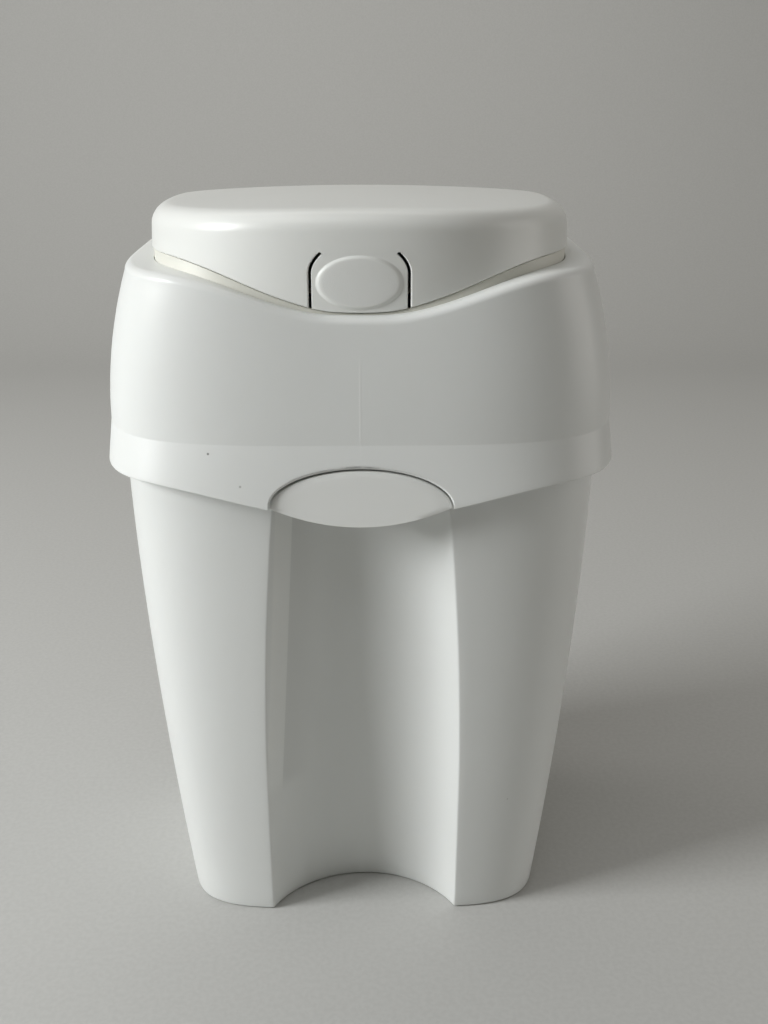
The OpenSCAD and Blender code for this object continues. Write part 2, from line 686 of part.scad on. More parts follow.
// Outline of the tongue, or of the opening round it, seen from the front, as x and z
function tongue_outline(grow, rise, drop) =
    let (h = tongue_w / 2 + grow, top = tongue_top + rise,
         low = edge_z - dip(h, -1, lid_dip) - drop,
         half = concat(
             [for (i = [0:6]) [h * i / 6, edge_z - dip(h * i / 6, -1, lid_dip) - drop]],
             [for (i = [1:3]) [h, low + (top - 10 - low) * i / 4]],
             [for (c = tongue_corner) [h + c[0], top + c[1]]],
             [for (i = [3:-1:0]) [(h - 5.6) * i / 4, top]]))
    concat(half, [for (i = [len(half) - 2:-1:1]) [-half[i][0], half[i][1]]]);

// Place on the lid's front wall, at depth w under its surface
function on_front(x, z, w) =
    let (top = lid_top([x, -lid_d / 2]), low = edge_z - dip(x, -1, lid_dip),
         bend = top - lid_round,
         in = z < bend ? lid_draft * (z - low) / (bend - low)
            : lid_draft + lid_round * (1 - sqrt(1 - pow((z - bend) / lid_round, 2))))
    [x, lid_y - (lid_d / 2 - in - w) * pow(1 - pow(abs(x) / (lid_w / 2 - in - w), lid_n), 1 / lid_n), z];

module lid_shell() {
    color("ivory") difference() {
        lid_skin(0, lid_wall);
        translate([0, lid_y - 60, 0]) rotate([90, 0, 0]) linear_extrude(lid_d / 2)
            polygon(tongue_outline(slot_w, run_gap, 5));
        both_sides() block([lid_hinge_x - lid_knuckle_w / 2 - run_gap, lid_axis_y - 20, edge_z - 1],
            [lid_hinge_x + lid_knuckle_w / 2 + run_gap, lid_axis_y + 10, lid_axis_z + lid_knuckle_r + run_gap]);
    }
}

pad_z = edge_z - lid_dip + pad_h / 2 + 0.6;

// Ring of the tongue, or of the finger pad in it, drawn in by shrink towards the pad's middle
function tongue_ring(shrink, w) = [for (p = tongue_outline(0, 0, 0))
    on_front(p[0] * shrink, pad_z + (p[1] - pad_z) * shrink, w)];
function pad_ring(shrink, w) = [for (p = tongue_outline(0, 0, 0))
    let (t = atan2((p[1] - pad_z) / pad_h, p[0] / pad_w))
    on_front(pad_w / 2 * shrink * cos(t), pad_z + pad_h / 2 * shrink * sin(t), w)];

module lid_button() {
    low = edge_z - lid_dip;
    back = hook_slot_y + 4.4;
    color("ivory") {
        skin([tongue_ring(0.5, lid_wall), tongue_ring(1, lid_wall), tongue_ring(1, 0), pad_ring(1, 0),
            pad_ring(0.96, -pad_t * 0.8), pad_ring(0.9, -pad_t), pad_ring(0.45, -pad_t)],
            [on_front(0, pad_z, lid_wall), on_front(0, pad_z, -pad_t)]);
        block([-hook_w / 2, on_front(0, low, lid_wall)[1] - 0.8, low + 2], [hook_w / 2, back, low + 4.5]);
        block([-hook_w / 2, back - 2, frame_top_z - 3], [hook_w / 2, back, low + 4]);
        block([-hook_w / 2, back - 3.2, frame_top_z - 3], [hook_w / 2, back, frame_top_z - run_gap]);
    }
}

liner_z = deck_z + 10.5;
liner_t = 2.5;

module lid_liner() {
    a = lid_w / 2 - lid_wall - 1.2;
    b = lid_d / 2 - lid_wall - 1.2;
    arm = lid_knuckle_w / 2;
    color("ivory") difference() {
        union() {
            translate([0, lid_y, liner_z]) linear_extrude(liner_t) polygon(outline(a, b, lid_n, lid_front));
            translate([0, lid_y, liner_z]) linear_extrude(9) difference() {
                polygon(outline(a, b, lid_n, lid_front));
                polygon(outline(a - 2, b - 2, lid_n, lid_front - 2));
            }
            both_sides() translate([lid_hinge_x, lid_axis_y, 0]) {
                block([-arm, -18, liner_z], [arm, -10, lid_axis_z + 2]);
                block([-arm, -18, lid_axis_z - 2], [arm, 0, lid_axis_z + 3]);
                bar_x(-arm, arm, lid_knuckle_r, 0, lid_axis_z);
            }
        }
        both_sides() bar_x(lid_hinge_x - arm - 1, lid_hinge_x + arm + 1, lid_r + pin_gap, lid_axis_y, lid_axis_z);
        block([-tongue_w / 2 - 4, lid_y - lid_d / 2, liner_z - 1],
            [tongue_w / 2 + 4, lid_y - lid_d / 2 + 14, liner_z + 20]);
    }
}

module lid_seal() {
    low = ring_top_z + run_gap;
    color("gray") rotate_extrude() polygon([[cassette_r - 8, liner_z], [cassette_r - 8, low + 1],
        [cassette_r - 5, low], [cassette_r - 2, low + 1], [cassette_r - 2, liner_z]]);
}

tub();
rear_hinge_pins();
badge_catch();
catch_springs();
collar();
mouth_ring();
upper_frame();
latch_keeper();
clamp_ring();
clamp_screws();
flap_pins();
flap_springs();
film_cutter();
cutter_blade();
flap_front();
flap_right();
flap_rear();
flap_left();
turning_ring();
cassette_tub();
film_pack();
cassette_cover();
lid_shell();
lid_liner();
lid_seal();
lid_button();
lid_hinge_pin();
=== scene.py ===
"""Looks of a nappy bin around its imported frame. Metres, +Z up, the front towards -Y."""

import json
import math

import bmesh
import bpy
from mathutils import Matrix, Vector
from mathutils.bvhtree import BVHTree


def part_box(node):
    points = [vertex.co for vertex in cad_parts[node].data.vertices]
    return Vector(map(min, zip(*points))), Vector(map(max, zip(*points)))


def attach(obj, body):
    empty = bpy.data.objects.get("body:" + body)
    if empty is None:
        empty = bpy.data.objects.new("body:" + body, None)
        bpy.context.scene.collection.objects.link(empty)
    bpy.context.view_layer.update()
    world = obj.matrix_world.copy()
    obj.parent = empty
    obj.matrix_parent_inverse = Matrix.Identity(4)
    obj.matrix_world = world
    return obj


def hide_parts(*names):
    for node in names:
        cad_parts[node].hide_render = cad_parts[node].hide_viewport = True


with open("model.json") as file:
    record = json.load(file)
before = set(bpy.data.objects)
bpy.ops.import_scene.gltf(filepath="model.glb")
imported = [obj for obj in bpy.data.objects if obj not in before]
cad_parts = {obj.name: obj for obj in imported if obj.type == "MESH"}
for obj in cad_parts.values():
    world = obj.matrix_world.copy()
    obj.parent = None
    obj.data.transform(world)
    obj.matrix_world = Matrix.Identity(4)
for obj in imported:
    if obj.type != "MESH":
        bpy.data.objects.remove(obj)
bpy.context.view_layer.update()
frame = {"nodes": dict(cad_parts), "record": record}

# Overall sizes, read from the frame
SKIRT_LOW, SKIRT_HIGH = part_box("collar")
BIN_W = SKIRT_HIGH.x - SKIRT_LOW.x
BIN_D = SKIRT_HIGH.y - SKIRT_LOW.y
TUB_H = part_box("tub")[1].z

# Tub
RIM_SIDE = 0.0105
RIM_FRONT = 0.011
TUB_TOP_W = BIN_W - 2 * RIM_SIDE
TUB_TOP_D = BIN_D - 2 * RIM_FRONT
TUB_BASE_W = 0.2306
TUB_BASE_D = 0.178
TUB_WALL = 0.0028
FOOT_H = 0.0035
FOOT_W = 0.005
FOOT_ROUND = 0.0022
CHANNEL_W = 0.118
CHANNEL_TOP_W = 0.097
CHANNEL_D = 0.036
CHANNEL_TOP_D = 0.022
CHANNEL_Z = TUB_H - 0.019
CHANNEL_CAP = 0.004
CHANNEL_STRAIGHT = 0.090
CHANNEL_EDGE = 0.0011
BASE_N = 5.0
RIM_N = 4.3
SIDE_CURVE = 1.6

# Collar
COLLAR_WALL = 0.0026
SKIRT_Z = TUB_H - 0.0072
CREASE_Z = SKIRT_Z + 0.024
RIDGE_Z = SKIRT_Z + 0.113
SKIRT_FLARE = 0.0029
COLLAR_LEAN = 0.014
FRONT_LEAN = 0.002
SKIRT_DIP = 0.0185
SKIRT_REACH = 0.125
COLLAR_ROUND = 0.0045
EDGE_FLAT = 0.012
EDGE_REACH = 0.108
COLLAR_N = 4.0

# Badge
BADGE_W = 0.100
BADGE_RISE = 0.0218
BADGE_DROP = 0.011
BADGE_T = 0.003
BADGE_FRONT = -BIN_D / 2 + 0.003
BADGE_GAP = 0.0006
ARCH = BADGE_W / 2 + BADGE_GAP
ARCH_RISE = 0.0003

# Lid and mouth ring
LID_W = BIN_W - 2 * 0.0307
LID_D = BIN_D - 2 * 0.0155
LID_Y = -0.0035
LID_N = 3.2
LID_FRONT = LID_W / 2 - 0.0293
EDGE_Z = RIDGE_Z + 0.0065
LID_TOP_Z = EDGE_Z + 0.0271
LID_DIP = 0.024
LID_WAVE = (LID_DIP, 0.0021)
COLLAR_WAVE = (0.020, 0.0007)
DIP_MORE_REACH = 0.045
LID_CROWN = 0.009
LID_SIDE_CROWN = 0.0045
LID_PEAK = 0.5
LID_ROUND = 0.011
LID_WALL = 0.0025
LID_DRAFT = 0.0006
WALL_LEAST = 0.0015
MOUTH_IN = 0.001
MOUTH_WALL = 0.0025
RUN_GAP = 0.0003
DECK_Z = EDGE_Z - 0.0285
DECK_T = 0.0025

# Button in the lid
TONGUE_W = 0.050
TONGUE_TOP = EDGE_Z + 0.0042
TONGUE_BEND = 0.010
TONGUE_IN = 0.0056
SLOT_W = 0.0015
SLOT_END_OUT = SLOT_W * 0.70
SLOT_END_R = SLOT_W * 0.66
PAD_W = 0.0442
PAD_H = 0.027
PAD_T = 0.0012
PAD_Z = EDGE_Z - LID_DIP + PAD_H / 2 + 0.0001

# Counts of points round the sides and back of an outline, and across its front stretch
AROUND = 200
ACROSS = 64

# How far pieces that become one reach into each other
OVERLAP = 0.0005


def wave(x, flat, reach):
    """Wave that the edges follow at the front, from 1 at the middle to 0 at its reach."""
    share = min(max(abs(x) - flat, 0.0) / (reach - flat), 1.0)
    return (1 + math.cos(math.pi * share)) / 2


def power(v, e):
    return math.copysign(abs(v) ** e, v)


def superellipse(a, b, n, t):
    return (a * power(math.cos(t), 2 / n), b * power(math.sin(t), 2 / n))


def sides_and_back(a, b, n, start, sweep):
    return [superellipse(a, b, n, start + sweep * i / AROUND) for i in range(AROUND + 1)]


def outline(a, b, n, c, even=True):
    """Closed outline of a rounded rectangle with half sizes a and b, round the sides and back from one end
    of the front stretch at x = c to the other, then across it, in even steps or finer towards its ends."""
    t0 = math.acos((c / a) ** (n / 2))
    steps = range(1, ACROSS)
    xs = [c - 2 * c * j / ACROSS if even else c * math.cos(math.pi * j / ACROSS) for j in steps]
    front = [(-x, -b * (1 - (abs(x) / a) ** n) ** (1 / n)) for x in xs]
    return sides_and_back(a, b, n, -t0, math.pi + 2 * t0) + front


def bezier(p, q, r, s):
    return tuple((1 - s) ** 2 * p[i] + 2 * s * (1 - s) * q[i] + s * s * r[i] for i in range(2))


def channel_outline(a, b, n, c, sag):
    """Outline with a front stretch that bows in by sag, between rounded edges."""
    t0 = math.acos((c / a) ** (n / 2))
    step = 0.01
    corner = superellipse(a, b, n, -t0)
    cut = step * CHANNEL_EDGE / math.dist(corner, superellipse(a, b, n, -t0 + step))
    points = sides_and_back(a, b, n, -t0 + cut, math.pi + 2 * t0 - 2 * cut)
    r = (c * c + sag * sag) / (2 * sag)
    f = math.acos((r - sag) / r) - CHANNEL_EDGE / r
    middle = corner[1] - (r - sag)
    arc = [f - 2 * f * j / ACROSS for j in range(ACROSS + 1)]
    front = [(-r * math.sin(t), middle + r * math.cos(t)) for t in arc]
    shares = (0.25, 0.5, 0.75)
    left = [bezier(points[-1], (-c, corner[1]), front[0], s) for s in shares]
    right = [bezier(front[-1], (c, corner[1]), points[0], s) for s in shares]
    return points + left + front + right


def make(name, verts, faces, angle=35):
    """Mesh object with consistent outward normals, smooth but for edges sharper than the angle."""
    mesh = bpy.data.meshes.new(name)
    mesh.from_pydata([tuple(v) for v in verts], [], faces)
    bm = bmesh.new()
    bm.from_mesh(mesh)
    bmesh.ops.recalc_face_normals(bm, faces=bm.faces)
    bm.to_mesh(mesh)
    bm.free()
    smooth(mesh, angle)
    piece = bpy.data.objects.new(name, mesh)
    bpy.context.scene.collection.objects.link(piece)
    return piece


def smooth(mesh, angle=35):
    mesh.polygons.foreach_set("use_smooth", [True] * len(mesh.polygons))
    mesh.set_sharp_from_angle(angle=math.radians(angle))


def skin(name, rings, ends=(), angle=35):
    """Mesh over a stack of rings with equal counts, closed by a fan at each end, or looped end to end."""
    m, k = len(rings[0]), len(rings)
    verts = [p for ring in rings for p in ring] + list(ends)
    faces = []
    for i in range(k - 1 if ends else k):
        for j in range(m):
            p, q = i * m + j, i * m + (j + 1) % m
            u, v = ((i + 1) % k) * m + j, ((i + 1) % k) * m + (j + 1) % m
            faces.append((p, q, v, u))
    if ends:
        faces += [(k * m, (j + 1) % m, j) for j in range(m)]
        faces += [(k * m + 1, (k - 1) * m + j, (k - 1) * m + (j + 1) % m) for j in range(m)]
    return make(name, verts, faces, angle)


def apply(piece):
    """Bakes the modifiers of a piece into its mesh."""
    depsgraph = bpy.context.evaluated_depsgraph_get()
    done = bpy.data.meshes.new_from_object(piece.evaluated_get(depsgraph))
    old = piece.data
    piece.modifiers.clear()
    piece.data = done
    bpy.data.meshes.remove(old)


def combine(piece, other, operation):
    """Boolean of two closed meshes, after which the other one is removed."""
    step = piece.modifiers.new("cut", "BOOLEAN")
    step.operation = operation
    step.solver = "EXACT"
    step.object = other
    apply(piece)
    bpy.data.objects.remove(other)


def block(name, low, high):
    x0, y0, z0 = low
    x1, y1, z1 = high
    verts = [(x, y, z) for x in (x0, x1) for y in (y0, y1) for z in (z0, z1)]
    faces = [(0, 1, 3, 2), (4, 6, 7, 5), (0, 4, 5, 1), (2, 3, 7, 6), (0, 2, 6, 4), (1, 5, 7, 3)]
    return make(name, verts, faces)


def slab(name, half_w, low, high):
    """Block across the middle, between a low and a high corner in Y and Z."""
    return block(name, (-half_w, *low), (half_w, *high))


def bar(name, start, axis, length, r, sides=32, chamfer=0.0003):
    """Round bar with chamfered ends, from a point along the X or the Y axis."""
    x, y, z = start

    def place(at, side, up):
        return (x + at, y + side, z + up) if axis == "X" else (x - side, y + at, z + up)

    def ring(at, radius):
        turns = [2 * math.pi * i / sides for i in range(sides)]
        return [place(at, radius * math.cos(t), radius * math.sin(t)) for t in turns]

    rings = [ring(0, r - chamfer), ring(chamfer, r), ring(length - chamfer, r), ring(length, r - chamfer)]
    return skin(name, rings, [place(0, 0, 0), place(length, 0, 0)])


def join_ear(whole, x, width, r, y, z, roots):
    """Joins an ear round a hinge's axis to a piece, with roots between low and high corners in Y and Z."""
    x0, x1 = x - width / 2, x + width / 2
    ear = bar("ear", (x0, y, z), "X", x1 - x0, r, 48, 0.0004)
    for low, high in roots:
        combine(ear, block("root", (x0, *low), (x1, *high)), "UNION")
    combine(whole, ear, "UNION")


def tube(name, path, r, sides=10):
    """Wire of round section along a path, with flat ends."""
    path = [Vector(p) for p in path]
    rings = []
    side = None
    for i, at in enumerate(path):
        ahead = (path[min(i + 1, len(path) - 1)] - path[max(i - 1, 0)]).normalized()
        if side is None:
            side = ahead.orthogonal().normalized()
        side = (side - ahead * side.dot(ahead)).normalized()
        up = ahead.cross(side)
        turns = [2 * math.pi * k / sides for k in range(sides)]
        rings.append([at + side * (r * math.cos(t)) + up * (r * math.sin(t)) for t in turns])
    return skin(name, rings, [path[0], path[-1]], 50)


def round_off(piece, width):
    """Softens the sharp edges of a piece by a small radius."""
    step = piece.modifiers.new("soften", "BEVEL")
    step.width = width
    step.segments = 2
    step.limit_method = "ANGLE"
    step.angle_limit = math.radians(40)
    apply(piece)


def merge(name, pieces):
    """One object out of several pieces that belong to one part."""
    mesh = bpy.data.meshes.new(name)
    bm = bmesh.new()
    for piece in pieces:
        bm.from_mesh(piece.data)
        bpy.data.objects.remove(piece)
    bm.to_mesh(mesh)
    bm.free()
    smooth(mesh, 40)
    whole = bpy.data.objects.new(name, mesh)
    bpy.context.scene.collection.objects.link(whole)
    return whole


def borrow_normals(piece, source, limit=0.0004):
    """Gives the parts of a cut surface that still lie on the uncut one its normals, so no seam shows."""
    polygons = [tuple(p.vertices) for p in source.polygons]
    tree = BVHTree.FromPolygons([v.co for v in source.vertices], polygons)
    corner = [Vector(n.vector) for n in source.corner_normals]
    mesh = piece.data
    own = [Vector(n.vector) for n in mesh.corner_normals]
    same_way, tiny = 0.94, 1e-7
    wanted = []
    for face in mesh.polygons:
        for loop in face.loop_indices:
            point = mesh.vertices[mesh.loops[loop].vertex_index].co
            near, normal, index, gap = tree.find_nearest(point)
            pick = own[loop]
            if gap < limit and normal.dot(face.normal) > same_way:
                under = source.polygons[index]
                apart = [(source.vertices[v].co - near).length for v in under.vertices]
                total = Vector((0, 0, 0))
                for length, at in zip(apart, under.loop_indices):
                    total += corner[at] * (1 / (tiny + length))
                pick = total.normalized()
            wanted.append(pick)
    mesh.normals_split_custom_set(wanted)


# Materials
def add(tree, kind, inputs=None, **settings):
    node = tree.nodes.new(kind)
    for key, value in settings.items():
        setattr(node, key, value)
    for key, value in (inputs or {}).items():
        node.inputs[key].default_value = value
    return node


def new_material(name):
    """A material, its node tree, its shader and the coordinates of the object that wears it."""
    material = bpy.data.materials.new(name)
    material.use_nodes = True
    tree = material.node_tree
    coord = add(tree, "ShaderNodeTexCoord").outputs["Object"]
    return material, tree, tree.nodes["Principled BSDF"], coord


def axes(tree, vector):
    split = add(tree, "ShaderNodeSeparateXYZ")
    tree.links.new(vector, split.inputs["Vector"])
    return [split.outputs[axis] for axis in "XYZ"]


def noise(tree, coord, scale, detail=3.0, rough=0.5):
    node = add(tree, "ShaderNodeTexNoise", {"Scale": scale, "Detail": detail, "Roughness": rough})
    tree.links.new(coord, node.inputs["Vector"])
    return node.outputs["Fac"]


def ramp(tree, value, low, high, out_low=0.0, out_high=1.0, smoothstep=True):
    ends = {"From Min": low, "From Max": high, "To Min": out_low, "To Max": out_high}
    node = add(tree, "ShaderNodeMapRange", ends)
    if smoothstep:
        node.interpolation_type = "SMOOTHSTEP"
    tree.links.new(value, node.inputs["Value"])
    return node.outputs["Result"]


def maths(tree, operation, a, b=None):
    node = add(tree, "ShaderNodeMath", operation=operation)
    for socket, value in zip(node.inputs, (a, b)):
        if value is None:
            continue
        if isinstance(value, (int, float)):
            socket.default_value = value
        else:
            tree.links.new(value, socket)
    return node.outputs["Value"]


def times(tree, first, *factors):
    for factor in factors:
        first = maths(tree, "MULTIPLY", first, factor)
    return first


def mix(tree, factor, a, b):
    node = add(tree, "ShaderNodeMix", data_type="RGBA")
    tree.links.new(factor, node.inputs["Factor"])
    for socket, value in ((node.inputs["A"], a), (node.inputs["B"], b)):
        if isinstance(value, tuple):
            socket.default_value = (*value, 1.0)
        else:
            tree.links.new(value, socket)
    return node.outputs["Result"]


def bump(tree, height, distance, strength=1.0, under=None):
    node = add(tree, "ShaderNodeBump", {"Strength": strength, "Distance": distance})
    tree.links.new(height, node.inputs["Height"])
    if under is not None:
        tree.links.new(under, node.inputs["Normal"])
    return node.outputs["Normal"]


def specks(tree, coord, scale, size, density):
    """Sparse round specks: 1 inside a speck, 0 elsewhere."""
    cell = add(tree, "ShaderNodeTexVoronoi", {"Scale": scale, "Randomness": 1.0})
    tree.links.new(coord, cell.inputs["Vector"])
    dot = ramp(tree, cell.outputs["Distance"], size, size * 0.5)
    split = add(tree, "ShaderNodeSeparateColor")
    tree.links.new(cell.outputs["Color"], split.inputs["Color"])
    chosen = maths(tree, "GREATER_THAN", split.outputs["Red"], 1 - density)
    return times(tree, dot, chosen)


def scratches(tree, coord, turn, scale, width):
    """Fine straight scratches that lie roughly along one direction."""
    place = add(tree, "ShaderNodeMapping")
    place.inputs["Rotation"].default_value = turn
    place.inputs["Scale"].default_value = (scale, scale * 0.04, scale)
    tree.links.new(coord, place.inputs["Vector"])
    lines = add(tree, "ShaderNodeTexVoronoi", {"Scale": 1.0}, feature="DISTANCE_TO_EDGE")
    tree.links.new(place.outputs["Vector"], lines.inputs["Vector"])
    return ramp(tree, lines.outputs["Distance"], width, 0.0)


def turned(tree, coord, turn):
    """Normals that turn outwards with the distance from the middle, on faces that look to the front. They
    give the lid's front the shading of a front that is rounder in plan."""
    across = axes(tree, coord)[0]
    facing = axes(tree, add(tree, "ShaderNodeTexCoord").outputs["Normal"])[1]
    front = ramp(tree, facing, -0.2, -0.8)
    push = add(tree, "ShaderNodeCombineXYZ")
    tree.links.new(times(tree, across, turn, front), push.inputs["X"])
    total = add(tree, "ShaderNodeVectorMath", operation="ADD")
    tree.links.new(add(tree, "ShaderNodeNewGeometry").outputs["Normal"], total.inputs[0])
    tree.links.new(push.outputs["Vector"], total.inputs[1])
    unit = add(tree, "ShaderNodeVectorMath", operation="NORMALIZE")
    tree.links.new(total.outputs["Vector"], unit.inputs[0])
    return unit.outputs["Vector"]


def scatter(shader, weight, radius):
    shader.inputs["Subsurface Weight"].default_value = weight
    shader.inputs["Subsurface Radius"].default_value = radius
    shader.inputs["Subsurface Scale"].default_value = 1.0


NEVER_WORN = 10.0
DUST = 0.55
WEAR_START = 0.004
WEAR_DULL = 0.11
UNEVEN_H = 0.0006
GRAIN_H = 0.00002
SCRATCH_H = 0.00003
PLASTIC_IOR = 1.49


def plastic(name, color, gloss, glow=0.06, worn_above=NEVER_WORN, extra=None, turn=0.0):
    """Moulded plastic: faint cloudy unevenness of tone, dust specks, uneven gloss and grain, with fine
    scratches above a height. Extra adds marks of its own, and turn is the push of its front's normals."""
    material, tree, shader, coord = new_material(name)

    def shade(share):
        return tuple(c * share for c in color)

    tint = mix(tree, noise(tree, coord, 7.0, 2.0, 0.4), color, shade(0.96))
    fine = ramp(tree, noise(tree, coord, 160.0, 3.0, 0.6), 0.4, 0.75, 0.0, 0.25)
    tint = mix(tree, fine, tint, shade(0.97))
    dirt = specks(tree, coord, 55.0, 0.035, 0.14)
    tint = mix(tree, times(tree, dirt, DUST), tint, shade(0.35))
    lines = scratches(tree, coord, (0.3, 0.5, 0.9), 60.0, 0.012)
    patches = ramp(tree, noise(tree, coord, 22.0, 2.0), 0.5, 0.68)
    high = ramp(tree, axes(tree, coord)[2], worn_above, worn_above + WEAR_START)
    wear = times(tree, lines, patches, high)
    haze = ramp(tree, noise(tree, coord, 11.0, 2.0, 0.45), 0.0, 1.0, gloss - 0.06, gloss + 0.08, False)
    rough = maths(tree, "ADD", haze, times(tree, wear, WEAR_DULL))
    base = turned(tree, coord, turn) if turn else None
    soft = bump(tree, noise(tree, coord, 26.0, 2.0, 0.4), UNEVEN_H, 0.35, base)
    grain = bump(tree, noise(tree, coord, 1500.0, 2.0, 0.6), GRAIN_H, 0.6, soft)
    normal = bump(tree, maths(tree, "SUBTRACT", 1.0, wear), SCRATCH_H, 0.25, grain)
    if extra:
        tint, rough, normal = extra(tree, coord, tint, rough, normal)
    tree.links.new(tint, shader.inputs["Base Color"])
    tree.links.new(rough, shader.inputs["Roughness"])
    tree.links.new(normal, shader.inputs["Normal"])
    shader.inputs["IOR"].default_value = PLASTIC_IOR
    if glow:
        scatter(shader, glow, (0.004, 0.0035, 0.003))
    return material


SKIRT_SLOPE = 0.14
WELD_HALF_W = 0.0009
WELD_TINT = 0.22
# Places of the dark specks on the skirt, and how dark each one is
SPECKS = (((-0.0819, -0.1213, 0.3238), 0.85), ((-0.0651, -0.1247, 0.3062), 0.45))
SPECK_R = 0.0006
SPECK_BLUR = 0.0003


def skirt_lean(tree, coord, tint, rough, normal):
    """Shading of a steeper flare under the collar's crease."""
    height = axes(tree, coord)[2]
    below = maths(tree, "MAXIMUM", maths(tree, "SUBTRACT", CREASE_Z, height), 0.0)
    return tint, rough, bump(tree, times(tree, below, SKIRT_SLOPE), 1.0, 1.0, normal)


def collar_marks(tree, coord, tint, rough, normal):
    """Faint upright weld line down the middle of the collar's front, and two dark specks on the skirt."""
    x, y, z = axes(tree, coord)
    line = ramp(tree, maths(tree, "ABSOLUTE", x), WELD_HALF_W, 0.0)
    low = ramp(tree, z, CREASE_Z - 0.012, CREASE_Z + 0.004)
    high = ramp(tree, z, RIDGE_Z - 0.034, RIDGE_Z - 0.050)
    front = ramp(tree, y, -BIN_D * 0.40, -BIN_D * 0.42)
    line = times(tree, line, low, high, front)
    tint = mix(tree, times(tree, line, WELD_TINT), tint, (0.95, 0.95, 0.94))
    for place, depth in SPECKS:
        apart = add(tree, "ShaderNodeVectorMath", operation="DISTANCE")
        tree.links.new(coord, apart.inputs[0])
        apart.inputs[1].default_value = place
        near = ramp(tree, apart.outputs["Value"], SPECK_R + SPECK_BLUR, SPECK_R - SPECK_BLUR)
        tint = mix(tree, times(tree, near, depth), tint, (0.10, 0.10, 0.09))
    normal = bump(tree, line, 0.00004, 1.0, normal)
    return skirt_lean(tree, coord, tint, rough, normal)


# Right edge of the channel's painted strip, as x = slope * z + place, its width and the reach of its blur
STRIP_SLOPE = 0.0643
STRIP_X = -0.0570
STRIP_W = 0.0100
STRIP_BLUR = 0.0002
# Painted light in the channel: how far the strip is lightened as a painted highlight, and the width and
# strength of the painted shade to its right
STRIP_HIGHLIGHT = 0.20
PAINTED_SHADE_W = 0.020
PAINTED_SHADE_TINT = 0.16


def painted_channel_light(tree, coord, tint, rough, normal):
    """Painted light down the left side of the tub's channel, where a narrow facet would catch the light: a
    pale strip of painted highlight, with painted shade to its right.
    """
    x, y, z = axes(tree, coord)
    edge = maths(tree, "ADD", times(tree, z, STRIP_SLOPE), STRIP_X)
    right = maths(tree, "SUBTRACT", x, edge)
    up = ramp(tree, z, 0.088, 0.102)
    under_cap = ramp(tree, z, CHANNEL_Z + 0.004, CHANNEL_Z)
    front = ramp(tree, y, -0.1125, -0.1115)
    # Painted shade right of the strip's edge, fading over its width, and a painted highlight on the strip
    # itself
    painted_shade = ramp(tree, right, -STRIP_BLUR, STRIP_BLUR), ramp(tree, right, PAINTED_SHADE_W, 0.0)
    painted_highlight = ramp(tree, right, STRIP_BLUR, -STRIP_BLUR), ramp(tree, right, -STRIP_W, 0.0015 - STRIP_W)
    painted_marks = ((painted_shade, PAINTED_SHADE_TINT, (0.3, 0.3, 0.28)), (painted_highlight, STRIP_HIGHLIGHT, (0.98, 0.98, 0.94)))
    for sides, share, color in painted_marks:
        tint = mix(tree, times(tree, *sides, up, under_cap, front, share), tint, color)
    return tint, rough, normal


def stipple(tree, coord, tint, rough, normal):
    """Coarse spark-eroded grain of the finger pad."""
    normal = bump(tree, noise(tree, coord, 1900.0, 2.0, 0.7), 0.0001, 0.9, normal)
    return tint, maths(tree, "ADD", rough, 0.12), normal


def metal(name, color, gloss):
    """Bare metal with stains, uneven gloss and a fine grain."""
    material, tree, shader, coord = new_material(name)
    stain = ramp(tree, noise(tree, coord, 180.0, 4.0), 0.35, 0.7)
    tint = mix(tree, stain, color, tuple(c * 0.8 for c in color))
    rough = ramp(tree, noise(tree, coord, 700.0, 3.0), 0.3, 0.7, gloss - 0.08, gloss + 0.12)
    tree.links.new(tint, shader.inputs["Base Color"])
    tree.links.new(rough, shader.inputs["Roughness"])
    tree.links.new(bump(tree, noise(tree, coord, 2500.0, 2.0), 0.000005, 0.4), shader.inputs["Normal"])
    shader.inputs["Metallic"].default_value = 1.0
    return material


def film_material():
    """Creased blue film."""
    material, tree, shader, coord = new_material("film")
    crease = noise(tree, coord, 240.0, 5.0, 0.65)
    tint = mix(tree, ramp(tree, crease, 0.35, 0.65), (0.62, 0.78, 0.86), (0.78, 0.88, 0.92))
    tree.links.new(tint, shader.inputs["Base Color"])
    tree.links.new(ramp(tree, crease, 0.3, 0.7, 0.30, 0.42), shader.inputs["Roughness"])
    tree.links.new(bump(tree, crease, 0.0005, 0.6), shader.inputs["Normal"])
    scatter(shader, 0.15, (0.003, 0.004, 0.005))
    return material


WHITE = (0.80, 0.815, 0.80)
# Push of the normals of the lid's front, per metre from the middle
LID_TURN = 3.0
PLASTICS = {
    # The tub's finish carries the painted highlight and painted shade in its channel
    "tub_plastic": dict(color=WHITE, gloss=0.34, extra=painted_channel_light),
    "collar_plastic": dict(color=WHITE, gloss=0.34, extra=collar_marks),
    "badge_plastic": dict(color=(0.84, 0.85, 0.83), gloss=0.33, extra=skirt_lean),
    "lid_plastic": dict(color=(0.80, 0.81, 0.785), gloss=0.32, worn_above=EDGE_Z + 0.018, turn=LID_TURN),
    "pad_grain": dict(color=(0.78, 0.79, 0.77), gloss=0.40, extra=stipple, turn=LID_TURN),
    "cream_plastic": dict(color=(0.73, 0.725, 0.66), gloss=0.46),
    "frame_plastic": dict(color=(0.60, 0.61, 0.60), gloss=0.42, glow=0),
    "flap_plastic": dict(color=(0.74, 0.74, 0.72), gloss=0.42, glow=0.03),
    "ring_plastic": dict(color=(0.36, 0.46, 0.58), gloss=0.32, glow=0.02),
    "cassette_plastic": dict(color=(0.02, 0.15, 0.40), gloss=0.38, glow=0),
    "seal_rubber": dict(color=(0.17, 0.175, 0.18), gloss=0.6, glow=0),
}
